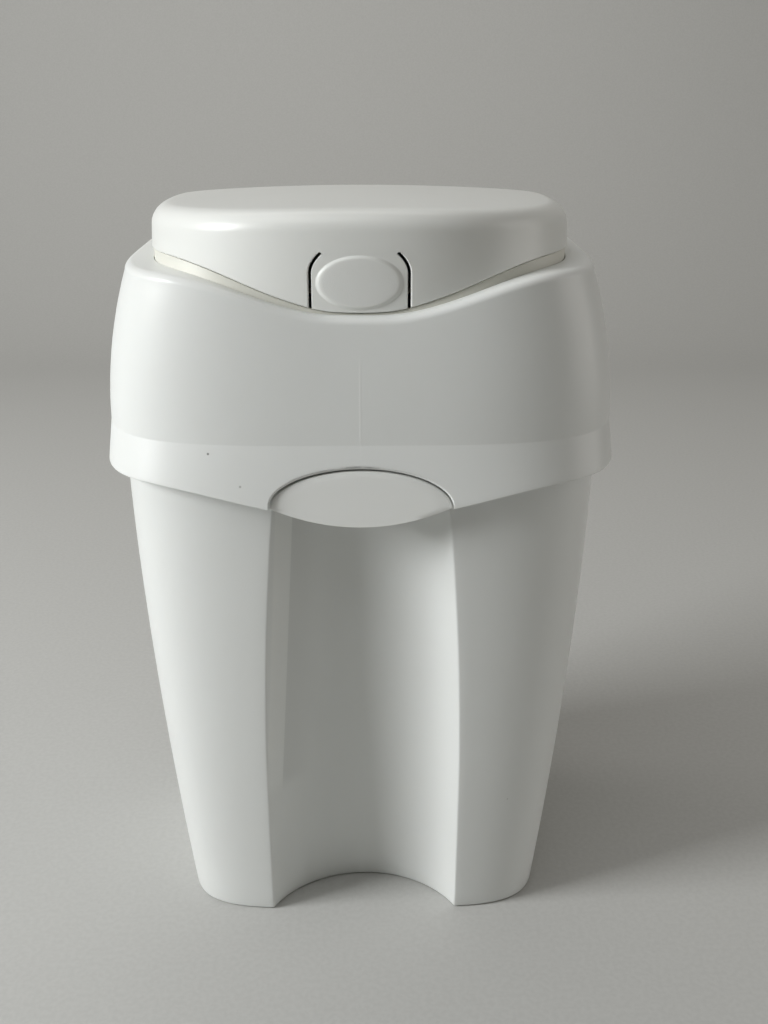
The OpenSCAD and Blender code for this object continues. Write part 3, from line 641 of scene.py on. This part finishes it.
MATERIALS = {name: plastic(name, **look) for name, look in PLASTICS.items()}
MATERIALS["film"] = film_material()
MATERIALS["spring_steel"] = metal("spring_steel", (0.55, 0.55, 0.56), 0.36)
MATERIALS["steel"] = metal("steel", (0.62, 0.62, 0.63), 0.35)


def paint(piece, slot):
    piece.data.materials.clear()
    piece.data.materials.append(MATERIALS[slot])


def dress(piece, slot, body, *replaced):
    """Gives a piece its material and slot, sets it on its body, and hides the nodes that it stands for."""
    paint(piece, slot)
    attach(piece, body)
    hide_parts(*replaced)


# Tub
def tub_half_w(z):
    share = 1 - (1 - min(z / TUB_H, 1)) ** SIDE_CURVE
    return (TUB_BASE_W + (TUB_TOP_W - TUB_BASE_W) * share) / 2


def tub_half_d(z):
    return (TUB_BASE_D + (TUB_TOP_D - TUB_BASE_D) * z / TUB_H) / 2


def tub_ring(z, w, depth):
    """Ring of the tub at a height, at depth w under its surface, with this share of the channel's depth."""
    n = BASE_N + (RIM_N - BASE_N) * z / TUB_H
    f = (max(z - CHANNEL_STRAIGHT, 0) / (CHANNEL_Z - CHANNEL_STRAIGHT)) ** 2
    c = (CHANNEL_W - (CHANNEL_W - CHANNEL_TOP_W) * f) / 2
    s = CHANNEL_D - (CHANNEL_D - CHANNEL_TOP_D) * z / CHANNEL_Z
    r = (c * c + s * s) / (2 * s)
    cw = math.sqrt((r + w) ** 2 - (r - s + w) ** 2)
    sag = max(depth * s, 1e-5)
    points = channel_outline(tub_half_w(z) - w, tub_half_d(z) - w, n, cw, sag)
    return [(x, y, z) for x, y in points]


REAR_R = 0.002
KNUCKLE_WALL = 0.0023
KNUCKLE_R = REAR_R + KNUCKLE_WALL
REAR_Z = TUB_H - 0.012
REAR_Y = tub_half_d(REAR_Z) + RUN_GAP + 0.0002 + KNUCKLE_R
REAR_X = 0.060
LUG_W = 0.0114
EAR_W = 0.006


def make_tub():
    floor = FOOT_H + TUB_WALL
    cap = CHANNEL_Z + CHANNEL_CAP
    edge, foot_edge, fillet = 0.0008, 0.0006, 0.003
    up, down = 30, 20
    turns = [math.radians(t) for t in (0, 22, 45, 67, 90)]
    rings = [tub_ring(FOOT_H, FOOT_W + 2 * foot_edge, 1), tub_ring(foot_edge, FOOT_W, 1),
             tub_ring(0, FOOT_W - foot_edge, 1)]
    rings += [tub_ring(FOOT_ROUND * (1 - math.sin(t)), FOOT_ROUND * (1 - math.cos(t)), 1)
              for t in turns[-2::-1]]
    rings += [tub_ring(FOOT_ROUND + (CHANNEL_Z - FOOT_ROUND) * i / up, 0, 1) for i in range(1, up + 1)]
    rings += [tub_ring(cap, 0, 0), tub_ring(TUB_H - edge, 0, 0), tub_ring(TUB_H, edge, 0)]
    rings += [tub_ring(TUB_H, TUB_WALL - edge, 0), tub_ring(TUB_H - edge, TUB_WALL, 0)]
    rings += [tub_ring(cap + TUB_WALL, TUB_WALL, 0), tub_ring(CHANNEL_Z + TUB_WALL, TUB_WALL, 1)]
    rings += [tub_ring(floor + (CHANNEL_Z - floor) * i / down, TUB_WALL, 1) for i in range(down - 1, 0, -1)]
    rings += [tub_ring(floor + fillet * (1 - math.sin(t)), TUB_WALL + fillet * (1 - math.cos(t)), 1)
              for t in turns]
    behind_channel = 0.02
    tub = skin("tub_looks", rings, [(0, behind_channel, FOOT_H), (0, behind_channel, floor)])
    root = ((tub_half_d(REAR_Z) - TUB_WALL + OVERLAP, REAR_Z - KNUCKLE_R), (REAR_Y, REAR_Z))
    for side in (-1, 1):
        for s in (-1, 1):
            x = side * (REAR_X + s * (LUG_W / 2 + RUN_GAP + EAR_W / 2))
            join_ear(tub, x, EAR_W, KNUCKLE_R, REAR_Y, REAR_Z, [root])
    smooth(tub.data)
    dress(tub, "tub_plastic", "root", "tub")


# Collar
def dip(x, y, depths):
    """How far an edge dips at the front: along its wave, and a little more at the middle."""
    if y >= 0:
        return 0.0
    depth, more = depths
    return depth * wave(x, EDGE_FLAT, EDGE_REACH) + more * wave(x, 0, DIP_MORE_REACH)


BADGE_Z = SKIRT_Z - SKIRT_DIP * wave(BADGE_W / 2, 0, SKIRT_REACH)


def skirt_low(x, y):
    return SKIRT_Z - (0 if y > 0 else SKIRT_DIP * wave(x, 0, SKIRT_REACH))


def collar_low(x, y):
    if y < 0 and abs(x) < ARCH:
        return BADGE_Z + ARCH_RISE + (BADGE_RISE + BADGE_GAP) * math.sqrt(1 - (x / ARCH) ** 2)
    return skirt_low(x, y)


def collar_outline(inset_w, inset_d):
    return outline(BIN_W / 2 - inset_w, BIN_D / 2 - inset_d, COLLAR_N, ARCH, even=False)


def skirt_ring(share, w, rise=0.0, lip=1.0):
    """Ring of the skirt, from its lower edge at 0 to the crease at 1. It flares evenly with height.
    Lip makes the rounding larger along the arch."""
    ring = []
    arch = collar_outline(w * lip, w * lip), collar_outline(w * lip + SKIRT_FLARE, w * lip + SKIRT_FLARE)
    plain = collar_outline(w, w), collar_outline(w + SKIRT_FLARE, w + SKIRT_FLARE)
    for i, (x, y) in enumerate(plain[0]):
        inside = y < 0 and abs(x) < ARCH
        (x, y), (in_x, in_y) = [side[i] for side in (arch if inside else plain)]
        base = skirt_low(x, y)
        z = collar_low(x, y) * (1 - share) + CREASE_Z * share + rise * (lip if inside else 1)
        f = (z - base) / (CREASE_Z - base)
        ring.append((x + (in_x - x) * f, y + (in_y - y) * f, z))
    return ring


def wall_ring(f, w):
    points = collar_outline(SKIRT_FLARE + COLLAR_LEAN * f * f + w, SKIRT_FLARE + FRONT_LEAN * f * f + w)
    top = [RIDGE_Z - dip(x, y, COLLAR_WAVE) - COLLAR_ROUND for x, y in points]
    return [(x, y, CREASE_Z + (high - CREASE_Z) * f) for (x, y), high in zip(points, top)]


def roll_ring(turn):
    inset = SKIRT_FLARE + COLLAR_ROUND * (1 - math.cos(turn))
    return [(x, y, RIDGE_Z - dip(x, y, COLLAR_WAVE) - COLLAR_ROUND * (1 - math.sin(turn)))
            for x, y in collar_outline(inset + COLLAR_LEAN, inset + FRONT_LEAN)]


def shoulder_ring(w, inset=0.0):
    """Ring of the hole in the collar's top, round the mouth ring."""
    half_w, half_d = (size / 2 - MOUTH_IN + RUN_GAP + inset for size in (LID_W, LID_D))
    points = outline(half_w, half_d, LID_N, ARCH, even=False)
    return [(x, y + LID_Y, RIDGE_Z - dip(x, y, COLLAR_WAVE) - w) for x, y in points]


def make_collar():
    edge, arch_lip = 0.0009, 2.4
    turns = [math.radians(18 * i) for i in range(6)]
    rings = [skirt_ring(0, edge * (1 - math.sin(t)), edge * (1 - math.cos(t)), arch_lip) for t in turns]
    rings += [skirt_ring(f, 0) for f in (0.1, 0.3, 0.5, 0.7, 0.9, 0.98)]
    rings += [wall_ring(f, 0) for f in (0.0, 0.008, 0.05)]
    rings += [wall_ring(i / 20, 0) for i in range(2, 21)]
    rings += [roll_ring(math.radians(9 * i)) for i in range(1, 11)]
    rings += [shoulder_ring(0, 0.0004), shoulder_ring(0.0004), shoulder_ring(COLLAR_WALL)]
    rings += [wall_ring(i / 8, COLLAR_WALL) for i in range(8, -1, -1)]
    rings += [skirt_ring(f, COLLAR_WALL) for f in (0.7, 0.35)]
    rings += [skirt_ring(0, COLLAR_WALL, edge), skirt_ring(0, COLLAR_WALL - edge)]
    dress(skin("collar_looks", rings), "collar_plastic", "upper", "collar")


# Badge, with the arm and claw of its catch
GUIDE_X = 0.025
GUIDE_R = 0.002
GUIDE_Z = TUB_H - 0.006
HEADER_Y = -tub_half_d(GUIDE_Z)
HOOK_Z = CREASE_Z + 0.009
HOOK_TOP_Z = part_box("badge_catch")[1].z
HOOK_BACK = HEADER_Y + 0.010
ARM_T = 0.004
ARM_HALF_W = 0.010
ARM_ROUND = 0.0004
RISER_T = 0.004
CLAW_L = 0.008
GUIDE_END_Y = HEADER_Y + TUB_WALL + 0.003
BADGE_MIDDLE_Z = BADGE_Z + 0.003
# Scales and depths of its rings, from the back over the rounded edge to the middle of the front
BADGE_PROFILE = ((1.0, BADGE_T), (0.995, 0.0012), (0.991, 0.0006), (0.982, 0.0002), (0.967, 0.0),
                 (0.8, 0.0), (0.5, 0.0), (0.25, 0.0))


def badge_outline(scale, count=128):
    points = []
    for i in range(count):
        t = 2 * math.pi * i / count
        u, v = math.cos(t), math.sin(t)
        rise = BADGE_RISE * v if v >= 0 else -BADGE_DROP * (1 - u * u)
        points.append((u * BADGE_W / 2 * scale, BADGE_Z + rise * scale))
    return points


def make_badge():
    back = BADGE_FRONT + BADGE_T
    rings = [[(x, BADGE_FRONT + depth, z) for x, z in badge_outline(scale)] for scale, depth in BADGE_PROFILE]
    badge = skin("badge_looks", rings, [(0, back, BADGE_MIDDLE_Z), (0, BADGE_FRONT, BADGE_MIDDLE_Z)], 50)
    stem = slab("arm", ARM_HALF_W, (back - OVERLAP, GUIDE_Z - ARM_T / 2), (HOOK_BACK, GUIDE_Z + ARM_T / 2))
    riser = slab("riser", ARM_HALF_W, (HOOK_BACK - RISER_T, GUIDE_Z), (HOOK_BACK, HOOK_TOP_Z))
    claw = slab("claw", ARM_HALF_W, (HOOK_BACK - CLAW_L, HOOK_Z), (HOOK_BACK - 0.001, HOOK_TOP_Z))
    for other in (riser, claw):
        combine(stem, other, "UNION")
    round_off(stem, ARM_ROUND)
    combine(badge, stem, "UNION")
    length = GUIDE_END_Y - back + OVERLAP
    for side in (-1, 1):
        start = (side * GUIDE_X, back - OVERLAP, GUIDE_Z)
        combine(badge, bar("guide", start, "Y", length, GUIDE_R), "UNION")
    smooth(badge.data, 40)
    dress(badge, "badge_plastic", "badge", "badge_catch")


# Lid
def lid_edge(p):
    return EDGE_Z - dip(p[0], p[1], LID_WAVE)


def front_edge(x):
    return lid_edge((x, -1))


def lid_top(p):
    back = (p[1] / (LID_D / 2) + LID_PEAK) / (1 + LID_PEAK)
    return LID_TOP_Z - LID_SIDE_CROWN * (p[0] / (LID_W / 2)) ** 2 - LID_CROWN * back * back


def lid_ring(inset, up, w, shrink=1.0, rise=0.0):
    """Ring of the lid's skin: up runs from 0 to 1 in the rounded edge and is negative on the wall below,
    from -1 at the lower edge. Shrink draws the rings of the top in towards the middle."""
    ring = []
    for q in outline(LID_W / 2 - inset - w, LID_D / 2 - inset - w, LID_N, LID_FRONT):
        p = (q[0] * shrink, q[1] * shrink)
        room = min(LID_ROUND, lid_top(q) - lid_edge(q) - WALL_LEAST)
        bend = lid_top(p) - room
        z = bend + (bend - lid_edge(p)) * up if up < 0 else bend + (room - w) * up
        ring.append((p[0], p[1] + LID_Y, z + rise))
    return ring


def lid_half(w, edge):
    """Rings of one side of the lid's wall, from the lower edge to the middle of the top."""
    full = LID_DRAFT + LID_ROUND
    turns = [math.radians(6 * i) for i in range(16)]
    rings = [lid_ring(0, -1, w, rise=edge)]
    rings += [lid_ring(LID_DRAFT * (1 - f), -f, w) for f in (0.8, 0.6, 0.4, 0.2)]
    outer = LID_ROUND - w
    rings += [lid_ring(full - w - outer * math.cos(t), math.sin(t), w) for t in turns]
    rings += [lid_ring(full - w, 1, w, shrink) for shrink in (0.93, 0.84, 0.7, 0.56, 0.42, 0.28, 0.14, 0.05)]
    return rings


def front_y(x, z):
    """Place of the lid's front wall across the depth, at a height."""
    y, low = -LID_D / 2, front_edge(x)
    for _ in range(4):
        bend = lid_top((x, y)) - LID_ROUND
        inset = LID_DRAFT * (z - low) / (bend - low)
        y = -(LID_D / 2 - inset) * (1 - (abs(x) / (LID_W / 2 - inset)) ** LID_N) ** (1 / LID_N)
    return y + LID_Y


def tongue_bend(z):
    """How far up the tongue's bend a height lies, from 0 where it begins to 1 at the hinge."""
    return max(z - (TONGUE_TOP - TONGUE_BEND), 0) / TONGUE_BEND


def tongue_side(z):
    """Half width of the tongue at a height: straight, then drawn in towards its hinge at the top."""
    rise = tongue_bend(z)
    return TONGUE_W / 2 - TONGUE_IN * rise * rise


def tongue_outline(grow, drop):
    """Outline of the tongue, or of the opening round it, as x, z and 0 on the hinge's line or 1 off it."""
    steps = 40
    low_x = TONGUE_W / 2 + grow
    half = [(low_x * i / steps, front_edge(low_x * i / steps) - drop, 1.0) for i in range(steps)]
    z0 = front_edge(low_x) - drop
    for i in range(steps + 1):
        z = z0 + (TONGUE_TOP - z0) * i / steps
        lean = math.hypot(1, 2 * TONGUE_IN / TONGUE_BEND * tongue_bend(z))
        half.append((tongue_side(z) + grow * lean, z, 1.0))
    top_x = half[-1][0]
    half += [(top_x * (1 - i / steps), TONGUE_TOP, 0.0) for i in range(1, steps + 1)]
    other = [(-x, z, hold) for x, z, hold in half[-2:0:-1]]
    return half + other


def tongue_cutter():
    """Cutter of the tongue's opening, with a small chamfer along the slots and none at the hinge."""
    rings = []
    drop = 0.004
    for depth, flare in ((-0.006, 0.0010), (-0.0001, 0.0008), (0.0008, 0.0), (0.012, 0.0)):
        ring = []
        for x, z, hold in tongue_outline(SLOT_W, drop):
            surface = front_y(x, max(z, front_edge(x)))
            wide = math.copysign(flare, x) if hold and abs(x) > TONGUE_IN * 2 else 0.0
            ring.append((x + wide, surface + depth, z))
        rings.append(ring)
    ends = [(0, rings[0][0][1], PAD_Z), (0, rings[-1][0][1], PAD_Z)]
    return skin("cutter", rings, ends)


# Hinge and hook of the lid
LID_AXIS_Y = LID_Y + LID_D / 2 + 0.004
LID_AXIS_Z = EDGE_Z + 0.0027
LID_KNUCKLE_R = 0.004
LID_KNUCKLE_W = 0.010
LID_HINGE_X = 0.035
LID_EAR_W = 0.0055
HOOK_Y = LID_Y - LID_D / 2 + 0.0045
HOOK_W = 0.016
HOOK_BACK_Y = HOOK_Y + 0.0044
HOOK_STEM_T = 0.002
HOOK_CLAW_L = 0.0032
FRAME_TOP_Z = DECK_Z - DECK_T
HOOK_LOW_Z = FRAME_TOP_Z - 0.003


def make_lid():
    """Shell of the lid with its opening for the tongue. Returns the mesh that it had before the cuts."""
    edge = 0.0006
    inner, outer = lid_half(LID_WALL, edge), lid_half(0.0, edge)
    rings = inner[::-1] + [lid_ring(0, -1, LID_WALL - edge), lid_ring(0, -1, edge)] + outer
    top = lid_top((0, 0))
    lid = skin("lid_looks", rings, [(0, LID_Y, top - LID_WALL), (0, LID_Y, top)], 40)
    whole = lid.data.copy()
    combine(lid, tongue_cutter(), "DIFFERENCE")
    before, through = 0.004, 0.010
    for side in (-1, 1):
        x = side * (tongue_side(TONGUE_TOP) + SLOT_END_OUT)
        start = (x, front_y(x, TONGUE_TOP) - before, TONGUE_TOP)
        combine(lid, bar("slot_end", start, "Y", through, SLOT_END_R), "DIFFERENCE")
    half = LID_KNUCKLE_W / 2 + RUN_GAP
    for side in (-1, 1):
        x = side * LID_HINGE_X
        notch = block("notch", (x - half, LID_AXIS_Y - 0.020, EDGE_Z - 0.001),
                      (x + half, LID_AXIS_Y + 0.010, LID_AXIS_Z + LID_KNUCKLE_R + RUN_GAP))
        combine(lid, notch, "DIFFERENCE")
    smooth(lid.data, 40)
    borrow_normals(lid, whole)
    dress(lid, "lid_plastic", "lid", "lid_shell")
    return whole


# Scales and heights of the rings over the pad's rounded edge
PAD_FOOT = 1.05
PAD_PROFILE = ((PAD_FOOT, 0.0), (1.035, 0.06), (1.015, 0.22), (0.992, 0.46), (0.968, 0.70), (0.942, 0.87),
               (0.915, 0.96), (0.88, 1.0), (0.75, 1.02), (0.6, 1.04), (0.4, 1.05), (0.2, 1.06))
PAD_RISE = PAD_T * 0.94
# Gap along the hinge's line, too fine to see, that keeps the lid and the button from cutting each other
SEAM = 0.00001


def pad_point(x, z, scale):
    """Point of the pad's oval, at a scale, in the direction of a point."""
    t = math.atan2((z - PAD_Z) / PAD_H, x / PAD_W)
    return PAD_W / 2 * scale * math.cos(t), PAD_Z + PAD_H / 2 * scale * math.sin(t)


def button_ring(toward, scale, height, edge=0.0, draw=0.0, lower=0.0):
    """Ring between the tongue's outline at 0 and the pad's oval at 1, raised by a height. Away from the
    hinge's line, edge sets it back and draw pulls it in. Lower moves it down on that line."""
    points = []
    for x, z, hold in tongue_outline(0.0, 0.0):
        if not hold:
            z = z - SEAM - lower
        px, pz = pad_point(x, z, scale)
        qx, qz = x + (px - x) * toward, z + (pz - z) * toward
        length = math.hypot(px - qx, pz - qz)
        if draw and hold and length:
            qx += (px - qx) * draw / length
            qz += (pz - qz) * draw / length
        points.append((qx, front_y(qx, qz) - height + edge * hold, qz))
    return points


def make_button(whole):
    """Tongue with its raised oval finger pad, its underside and the hook that holds the lid shut."""
    rings = [button_ring(0, PAD_FOOT, -LID_WALL, lower=0.0002), button_ring(0, PAD_FOOT, 0, edge=0.0007),
             button_ring(0, PAD_FOOT, 0, edge=0.0001, draw=0.0002), button_ring(0, PAD_FOOT, 0, draw=0.0006),
             button_ring(0.35, PAD_FOOT, 0), button_ring(0.7, PAD_FOOT, 0)]
    rings += [button_ring(1, scale, PAD_RISE * height) for scale, height in PAD_PROFILE]
    ends = [(0, front_y(0, PAD_Z) + LID_WALL, PAD_Z), (0, front_y(0, PAD_Z) - PAD_T, PAD_Z)]
    button = skin("button_looks", rings, ends, 50)
    low, back = EDGE_Z - LID_DIP, HOOK_BACK_Y
    root_y = front_y(0, low) + LID_WALL - 0.0008
    hook = slab("hook", HOOK_W / 2, (root_y, low + 0.002), (back, low + 0.0045))
    stem = slab("stem", HOOK_W / 2, (back - HOOK_STEM_T, HOOK_LOW_Z), (back, low + 0.004))
    claw = slab("claw", HOOK_W / 2, (back - HOOK_CLAW_L, HOOK_LOW_Z), (back - 0.001, FRAME_TOP_Z - RUN_GAP))
    for other in (stem, claw):
        combine(hook, other, "UNION")
    combine(button, hook, "UNION")
    smooth(button.data, 50)
    borrow_normals(button, whole, 0.00006)
    dress(button, "lid_plastic", "button", "lid_button")
    button.data.materials.append(MATERIALS["pad_grain"])
    grained = 0.80
    for face in button.data.polygons:
        x, y, z = face.center
        inside = (x / (PAD_W / 2)) ** 2 + ((z - PAD_Z) / (PAD_H / 2)) ** 2 < grained
        if inside and y < front_y(x, z) - PAD_T * 0.5:
            face.material_index = 1


# Mouth ring
def mouth_ring(w, z=None, drop=0.0):
    ring = []
    for x, y in outline(LID_W / 2 - MOUTH_IN - w, LID_D / 2 - MOUTH_IN - w, LID_N, LID_FRONT):
        top = EDGE_Z - RUN_GAP - dip(x, y, LID_WAVE) - drop
        ring.append((x, y + LID_Y, top if z is None else z))
    return ring


def make_mouth_ring():
    """Wall under the lid's edge with its deck, the round bore, the ears of the lid's hinge and a slot."""
    flange, gap, wall, edge = 0.0022, 0.0005, MOUTH_WALL, 0.0009
    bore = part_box("turning_ring")[1].x - flange + gap

    def circle(r, z):
        turns = [math.atan2(y - LID_Y, x) for x, y, _ in mouth_ring(0, 0.0)]
        return [(r * math.cos(t), r * math.sin(t), z) for t in turns]

    rings = [mouth_ring(0, FRAME_TOP_Z), mouth_ring(0, drop=edge), mouth_ring(edge * 0.3, drop=edge * 0.3),
             mouth_ring(edge), mouth_ring(wall - edge), mouth_ring(wall, drop=edge),
             mouth_ring(wall, DECK_Z + 0.001), mouth_ring(wall + 0.0003, DECK_Z + 0.0003),
             mouth_ring(wall + 0.001, DECK_Z), circle(bore + edge, DECK_Z), circle(bore, DECK_Z - edge),
             circle(bore, FRAME_TOP_Z)]
    mouth = skin("mouth_looks", rings)
    low, inner_reach, outer_reach = EDGE_Z - 0.0053, 0.0075, 0.0035
    roots = [((LID_AXIS_Y - inner_reach, low), (LID_AXIS_Y, EDGE_Z - RUN_GAP)),
             ((LID_AXIS_Y - outer_reach, low), (LID_AXIS_Y, LID_AXIS_Z))]
    for side in (-1, 1):
        for s in (-1, 1):
            x = side * LID_HINGE_X + s * (LID_KNUCKLE_W / 2 + RUN_GAP + LID_EAR_W / 2)
            join_ear(mouth, x, LID_EAR_W, LID_KNUCKLE_R, LID_AXIS_Y, LID_AXIS_Z, roots)
    slot = slab("slot", HOOK_W / 2 + 0.001, (HOOK_Y, FRAME_TOP_Z - 0.001), (HOOK_Y + 0.007, DECK_Z + 0.001))
    combine(mouth, slot, "DIFFERENCE")
    smooth(mouth.data)
    dress(mouth, "cream_plastic", "upper", "mouth_ring")


# Springs and screws
PINS_LOW, PINS_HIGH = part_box("flap_pins")
FLAP_PIN_R = (PINS_HIGH.z - PINS_LOW.z) / 2
FLAP_Z = (PINS_HIGH.z + PINS_LOW.z) / 2
FLAP_AXIS = PINS_HIGH.x - FLAP_PIN_R
SPRING_HALF = 0.008
FLAP_TURNS = 12
CATCH_TURNS = 4
WIRE_R = 0.0004
WIRE_LOOKS_R = WIRE_R * 0.96
CLAMP_LOW_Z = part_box("clamp_screws")[0].z + 0.002
SCREW_RADIUS = 0.084
SCREW_TURN = 32
PER_TURN = 20


def four(points, i):
    """Points of the front, turned about the middle to one of the four sides."""
    c, s = ((1, 0), (0, 1), (-1, 0), (0, -1))[i]
    return [(c * x - s * y, s * x + c * y, z) for x, y, z in points]


def make_flap_springs():
    """Coil round each flap's pin, with a leg down to the clamp ring."""
    r, step, count = FLAP_PIN_R + 0.0007, 0.0002, FLAP_TURNS * PER_TURN
    start, length = -SPRING_HALF + WIRE_R, 2 * (SPRING_HALF - WIRE_R)
    path = [(start, -FLAP_AXIS, CLAMP_LOW_Z)]
    path += [(start, -FLAP_AXIS - step * k, FLAP_Z + r + 0.0006 - step * k) for k in range(3)]
    for k in range(count + 1):
        t = 2 * math.pi * k / PER_TURN
        path.append((start + length * k / count, -FLAP_AXIS - r * math.sin(t), FLAP_Z + r * math.cos(t)))
    springs = [tube("spring", four(path, i), WIRE_LOOKS_R) for i in range(4)]
    dress(merge("flap_springs_looks", springs), "spring_steel", "upper", "flap_springs")


def make_catch_springs():
    """Coils round the badge's guides, with closed turns at both ends."""
    low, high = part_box("catch_springs")
    r, closed = GUIDE_R + 0.0012, 0.75
    start, length = low.y + WIRE_R, high.y - low.y - 2 * WIRE_R
    springs = []
    for side in (-1, 1):
        path = []
        for k in range(CATCH_TURNS * PER_TURN + 1):
            t = 2 * math.pi * k / PER_TURN
            rise = min(max((k / PER_TURN - closed) / (CATCH_TURNS - 2 * closed), 0), 1)
            x, z = side * GUIDE_X + r * math.cos(t), GUIDE_Z + r * math.sin(t)
            path.append((x, start + length * rise, z))
        springs.append(tube("spring", path, WIRE_LOOKS_R))
    dress(merge("catch_springs_looks", springs), "spring_steel", "root", "catch_springs")


def make_screws():
    """Screws with a domed head below, and a cross recess in it."""
    head, depth, shaft, sides = 0.003, 0.002, 0.0015, 40
    recess_l, recess_w, recess_z = 0.0016, 0.0003, 0.0009
    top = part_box("clamp_screws")[1].z - CLAMP_LOW_Z
    profile = [(0.0001, -depth), (0.0012, -depth * 0.98), (0.0021, -depth * 0.85), (0.0027, -depth * 0.6),
               (head, -depth * 0.25), (head, 0), (shaft, 0), (shaft, top - 0.0005), (shaft - 0.0005, top)]
    turns = [2 * math.pi * k / sides for k in range(sides)]
    screws = []
    for i in range(4):
        turn = math.radians(SCREW_TURN + 90 * i)
        x, y = SCREW_RADIUS * math.cos(turn), SCREW_RADIUS * math.sin(turn)
        rings = [[(x + r * math.cos(t), y + r * math.sin(t), CLAMP_LOW_Z + z) for t in turns]
                 for r, z in profile]
        screw = skin("screw", rings, [(x, y, CLAMP_LOW_Z - depth), (x, y, CLAMP_LOW_Z + top)])
        for half_x, half_y in ((recess_l, recess_w), (recess_w, recess_l)):
            recess = block("recess", (x - half_x, y - half_y, CLAMP_LOW_Z - depth - 0.001),
                           (x + half_x, y + half_y, CLAMP_LOW_Z - recess_z))
            combine(screw, recess, "DIFFERENCE")
        screws.append(screw)
    dress(merge("clamp_screws_looks", screws), "steel", "upper", "clamp_screws")


def dress_inner_pieces():
    """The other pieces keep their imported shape, and get a finish."""
    for row in frame["record"]["subparts"]:
        paint(frame["nodes"][row["node"]], row["material_slot"])


make_tub()
make_collar()
make_badge()
make_button(make_lid())
make_mouth_ring()
make_flap_springs()
make_catch_springs()
make_screws()
dress_inner_pieces()


# Stage, camera and lights
def make_stage():
    """Studio paper: a floor that bends up into a wall behind the bin."""
    half_w, front, back, top, bend = 4.0, -4.0, 2.2, 4.0, 0.8
    turns = [math.radians(a) for a in range(0, 91, 5)]
    profile = [(front, 0.0)]
    profile += [(back - bend + bend * math.sin(t), bend - bend * math.cos(t)) for t in turns]
    profile.append((back, top))
    verts = [(x, y, z) for y, z in profile for x in (-half_w, half_w)]
    faces = [(2 * i, 2 * i + 1, 2 * i + 3, 2 * i + 2) for i in range(len(profile) - 1)]
    sweep = make("studio_sweep", verts, faces, 60)
    material, tree, shader, coord = new_material("studio_paper")
    fibre = ramp(tree, noise(tree, coord, 300.0, 4.0), 0.3, 0.7)
    tint = mix(tree, fibre, (0.50, 0.50, 0.485), (0.53, 0.53, 0.515))
    tree.links.new(tint, shader.inputs["Base Color"])
    shader.inputs["Roughness"].default_value = 0.8
    sweep.data.materials.append(material)


def make_camera():
    focal_px, height_px = 1200.0, 1024.0
    down, right = math.radians(20.5), math.radians(0.83)
    data = bpy.data.cameras.new("camera")
    data.sensor_width = 36.0
    data.lens = data.sensor_width * focal_px / height_px
    camera = bpy.data.objects.new("camera", data)
    camera.location = (0.0036, -0.7361, 0.520)
    level = math.cos(down)
    ahead = Vector((math.sin(right) * level, math.cos(right) * level, -math.sin(down)))
    camera.rotation_mode = "QUATERNION"
    camera.rotation_quaternion = ahead.to_track_quat("-Z", "Y")
    bpy.context.scene.collection.objects.link(camera)
    bpy.context.scene.camera = camera


def area_light(name, place, aim, size, power_w, color=(1, 1, 1)):
    data = bpy.data.lights.new(name, "AREA")
    data.shape = "RECTANGLE"
    data.size, data.size_y = size
    data.energy = power_w
    data.color = color
    lamp = bpy.data.objects.new(name, data)
    lamp.location = place
    lamp.rotation_mode = "QUATERNION"
    lamp.rotation_quaternion = (Vector(aim) - Vector(place)).to_track_quat("-Z", "Y")
    bpy.context.scene.collection.objects.link(lamp)


def make_lights():
    middle = (0, 0, 0.25)
    area_light("window", (-1.9, -0.69, 1.11), middle, (0.75, 0.75), 42.5, (0.985, 1.0, 1.0))
    area_light("ceiling", (-0.6, -0.9, 2.3), middle, (1.6, 1.2), 8)
    area_light("wall", (1.85, -0.05, 0.6), middle, (1.4, 1.6), 8.5, (1.0, 0.965, 0.93))
    area_light("backdrop", (-0.3, 0.4, 2.0), (0, 2.0, 0.9), (1.6, 0.8), 12, (1.0, 0.97, 0.94))
    world = bpy.data.worlds.new("studio")
    world.use_nodes = True
    background = world.node_tree.nodes["Background"]
    background.inputs["Color"].default_value = (0.86, 0.83, 0.72, 1)
    background.inputs["Strength"].default_value = 0.115
    bpy.context.scene.world = world
    bpy.context.scene.view_settings.view_transform = "Standard"


make_stage()
make_camera()
make_lights()
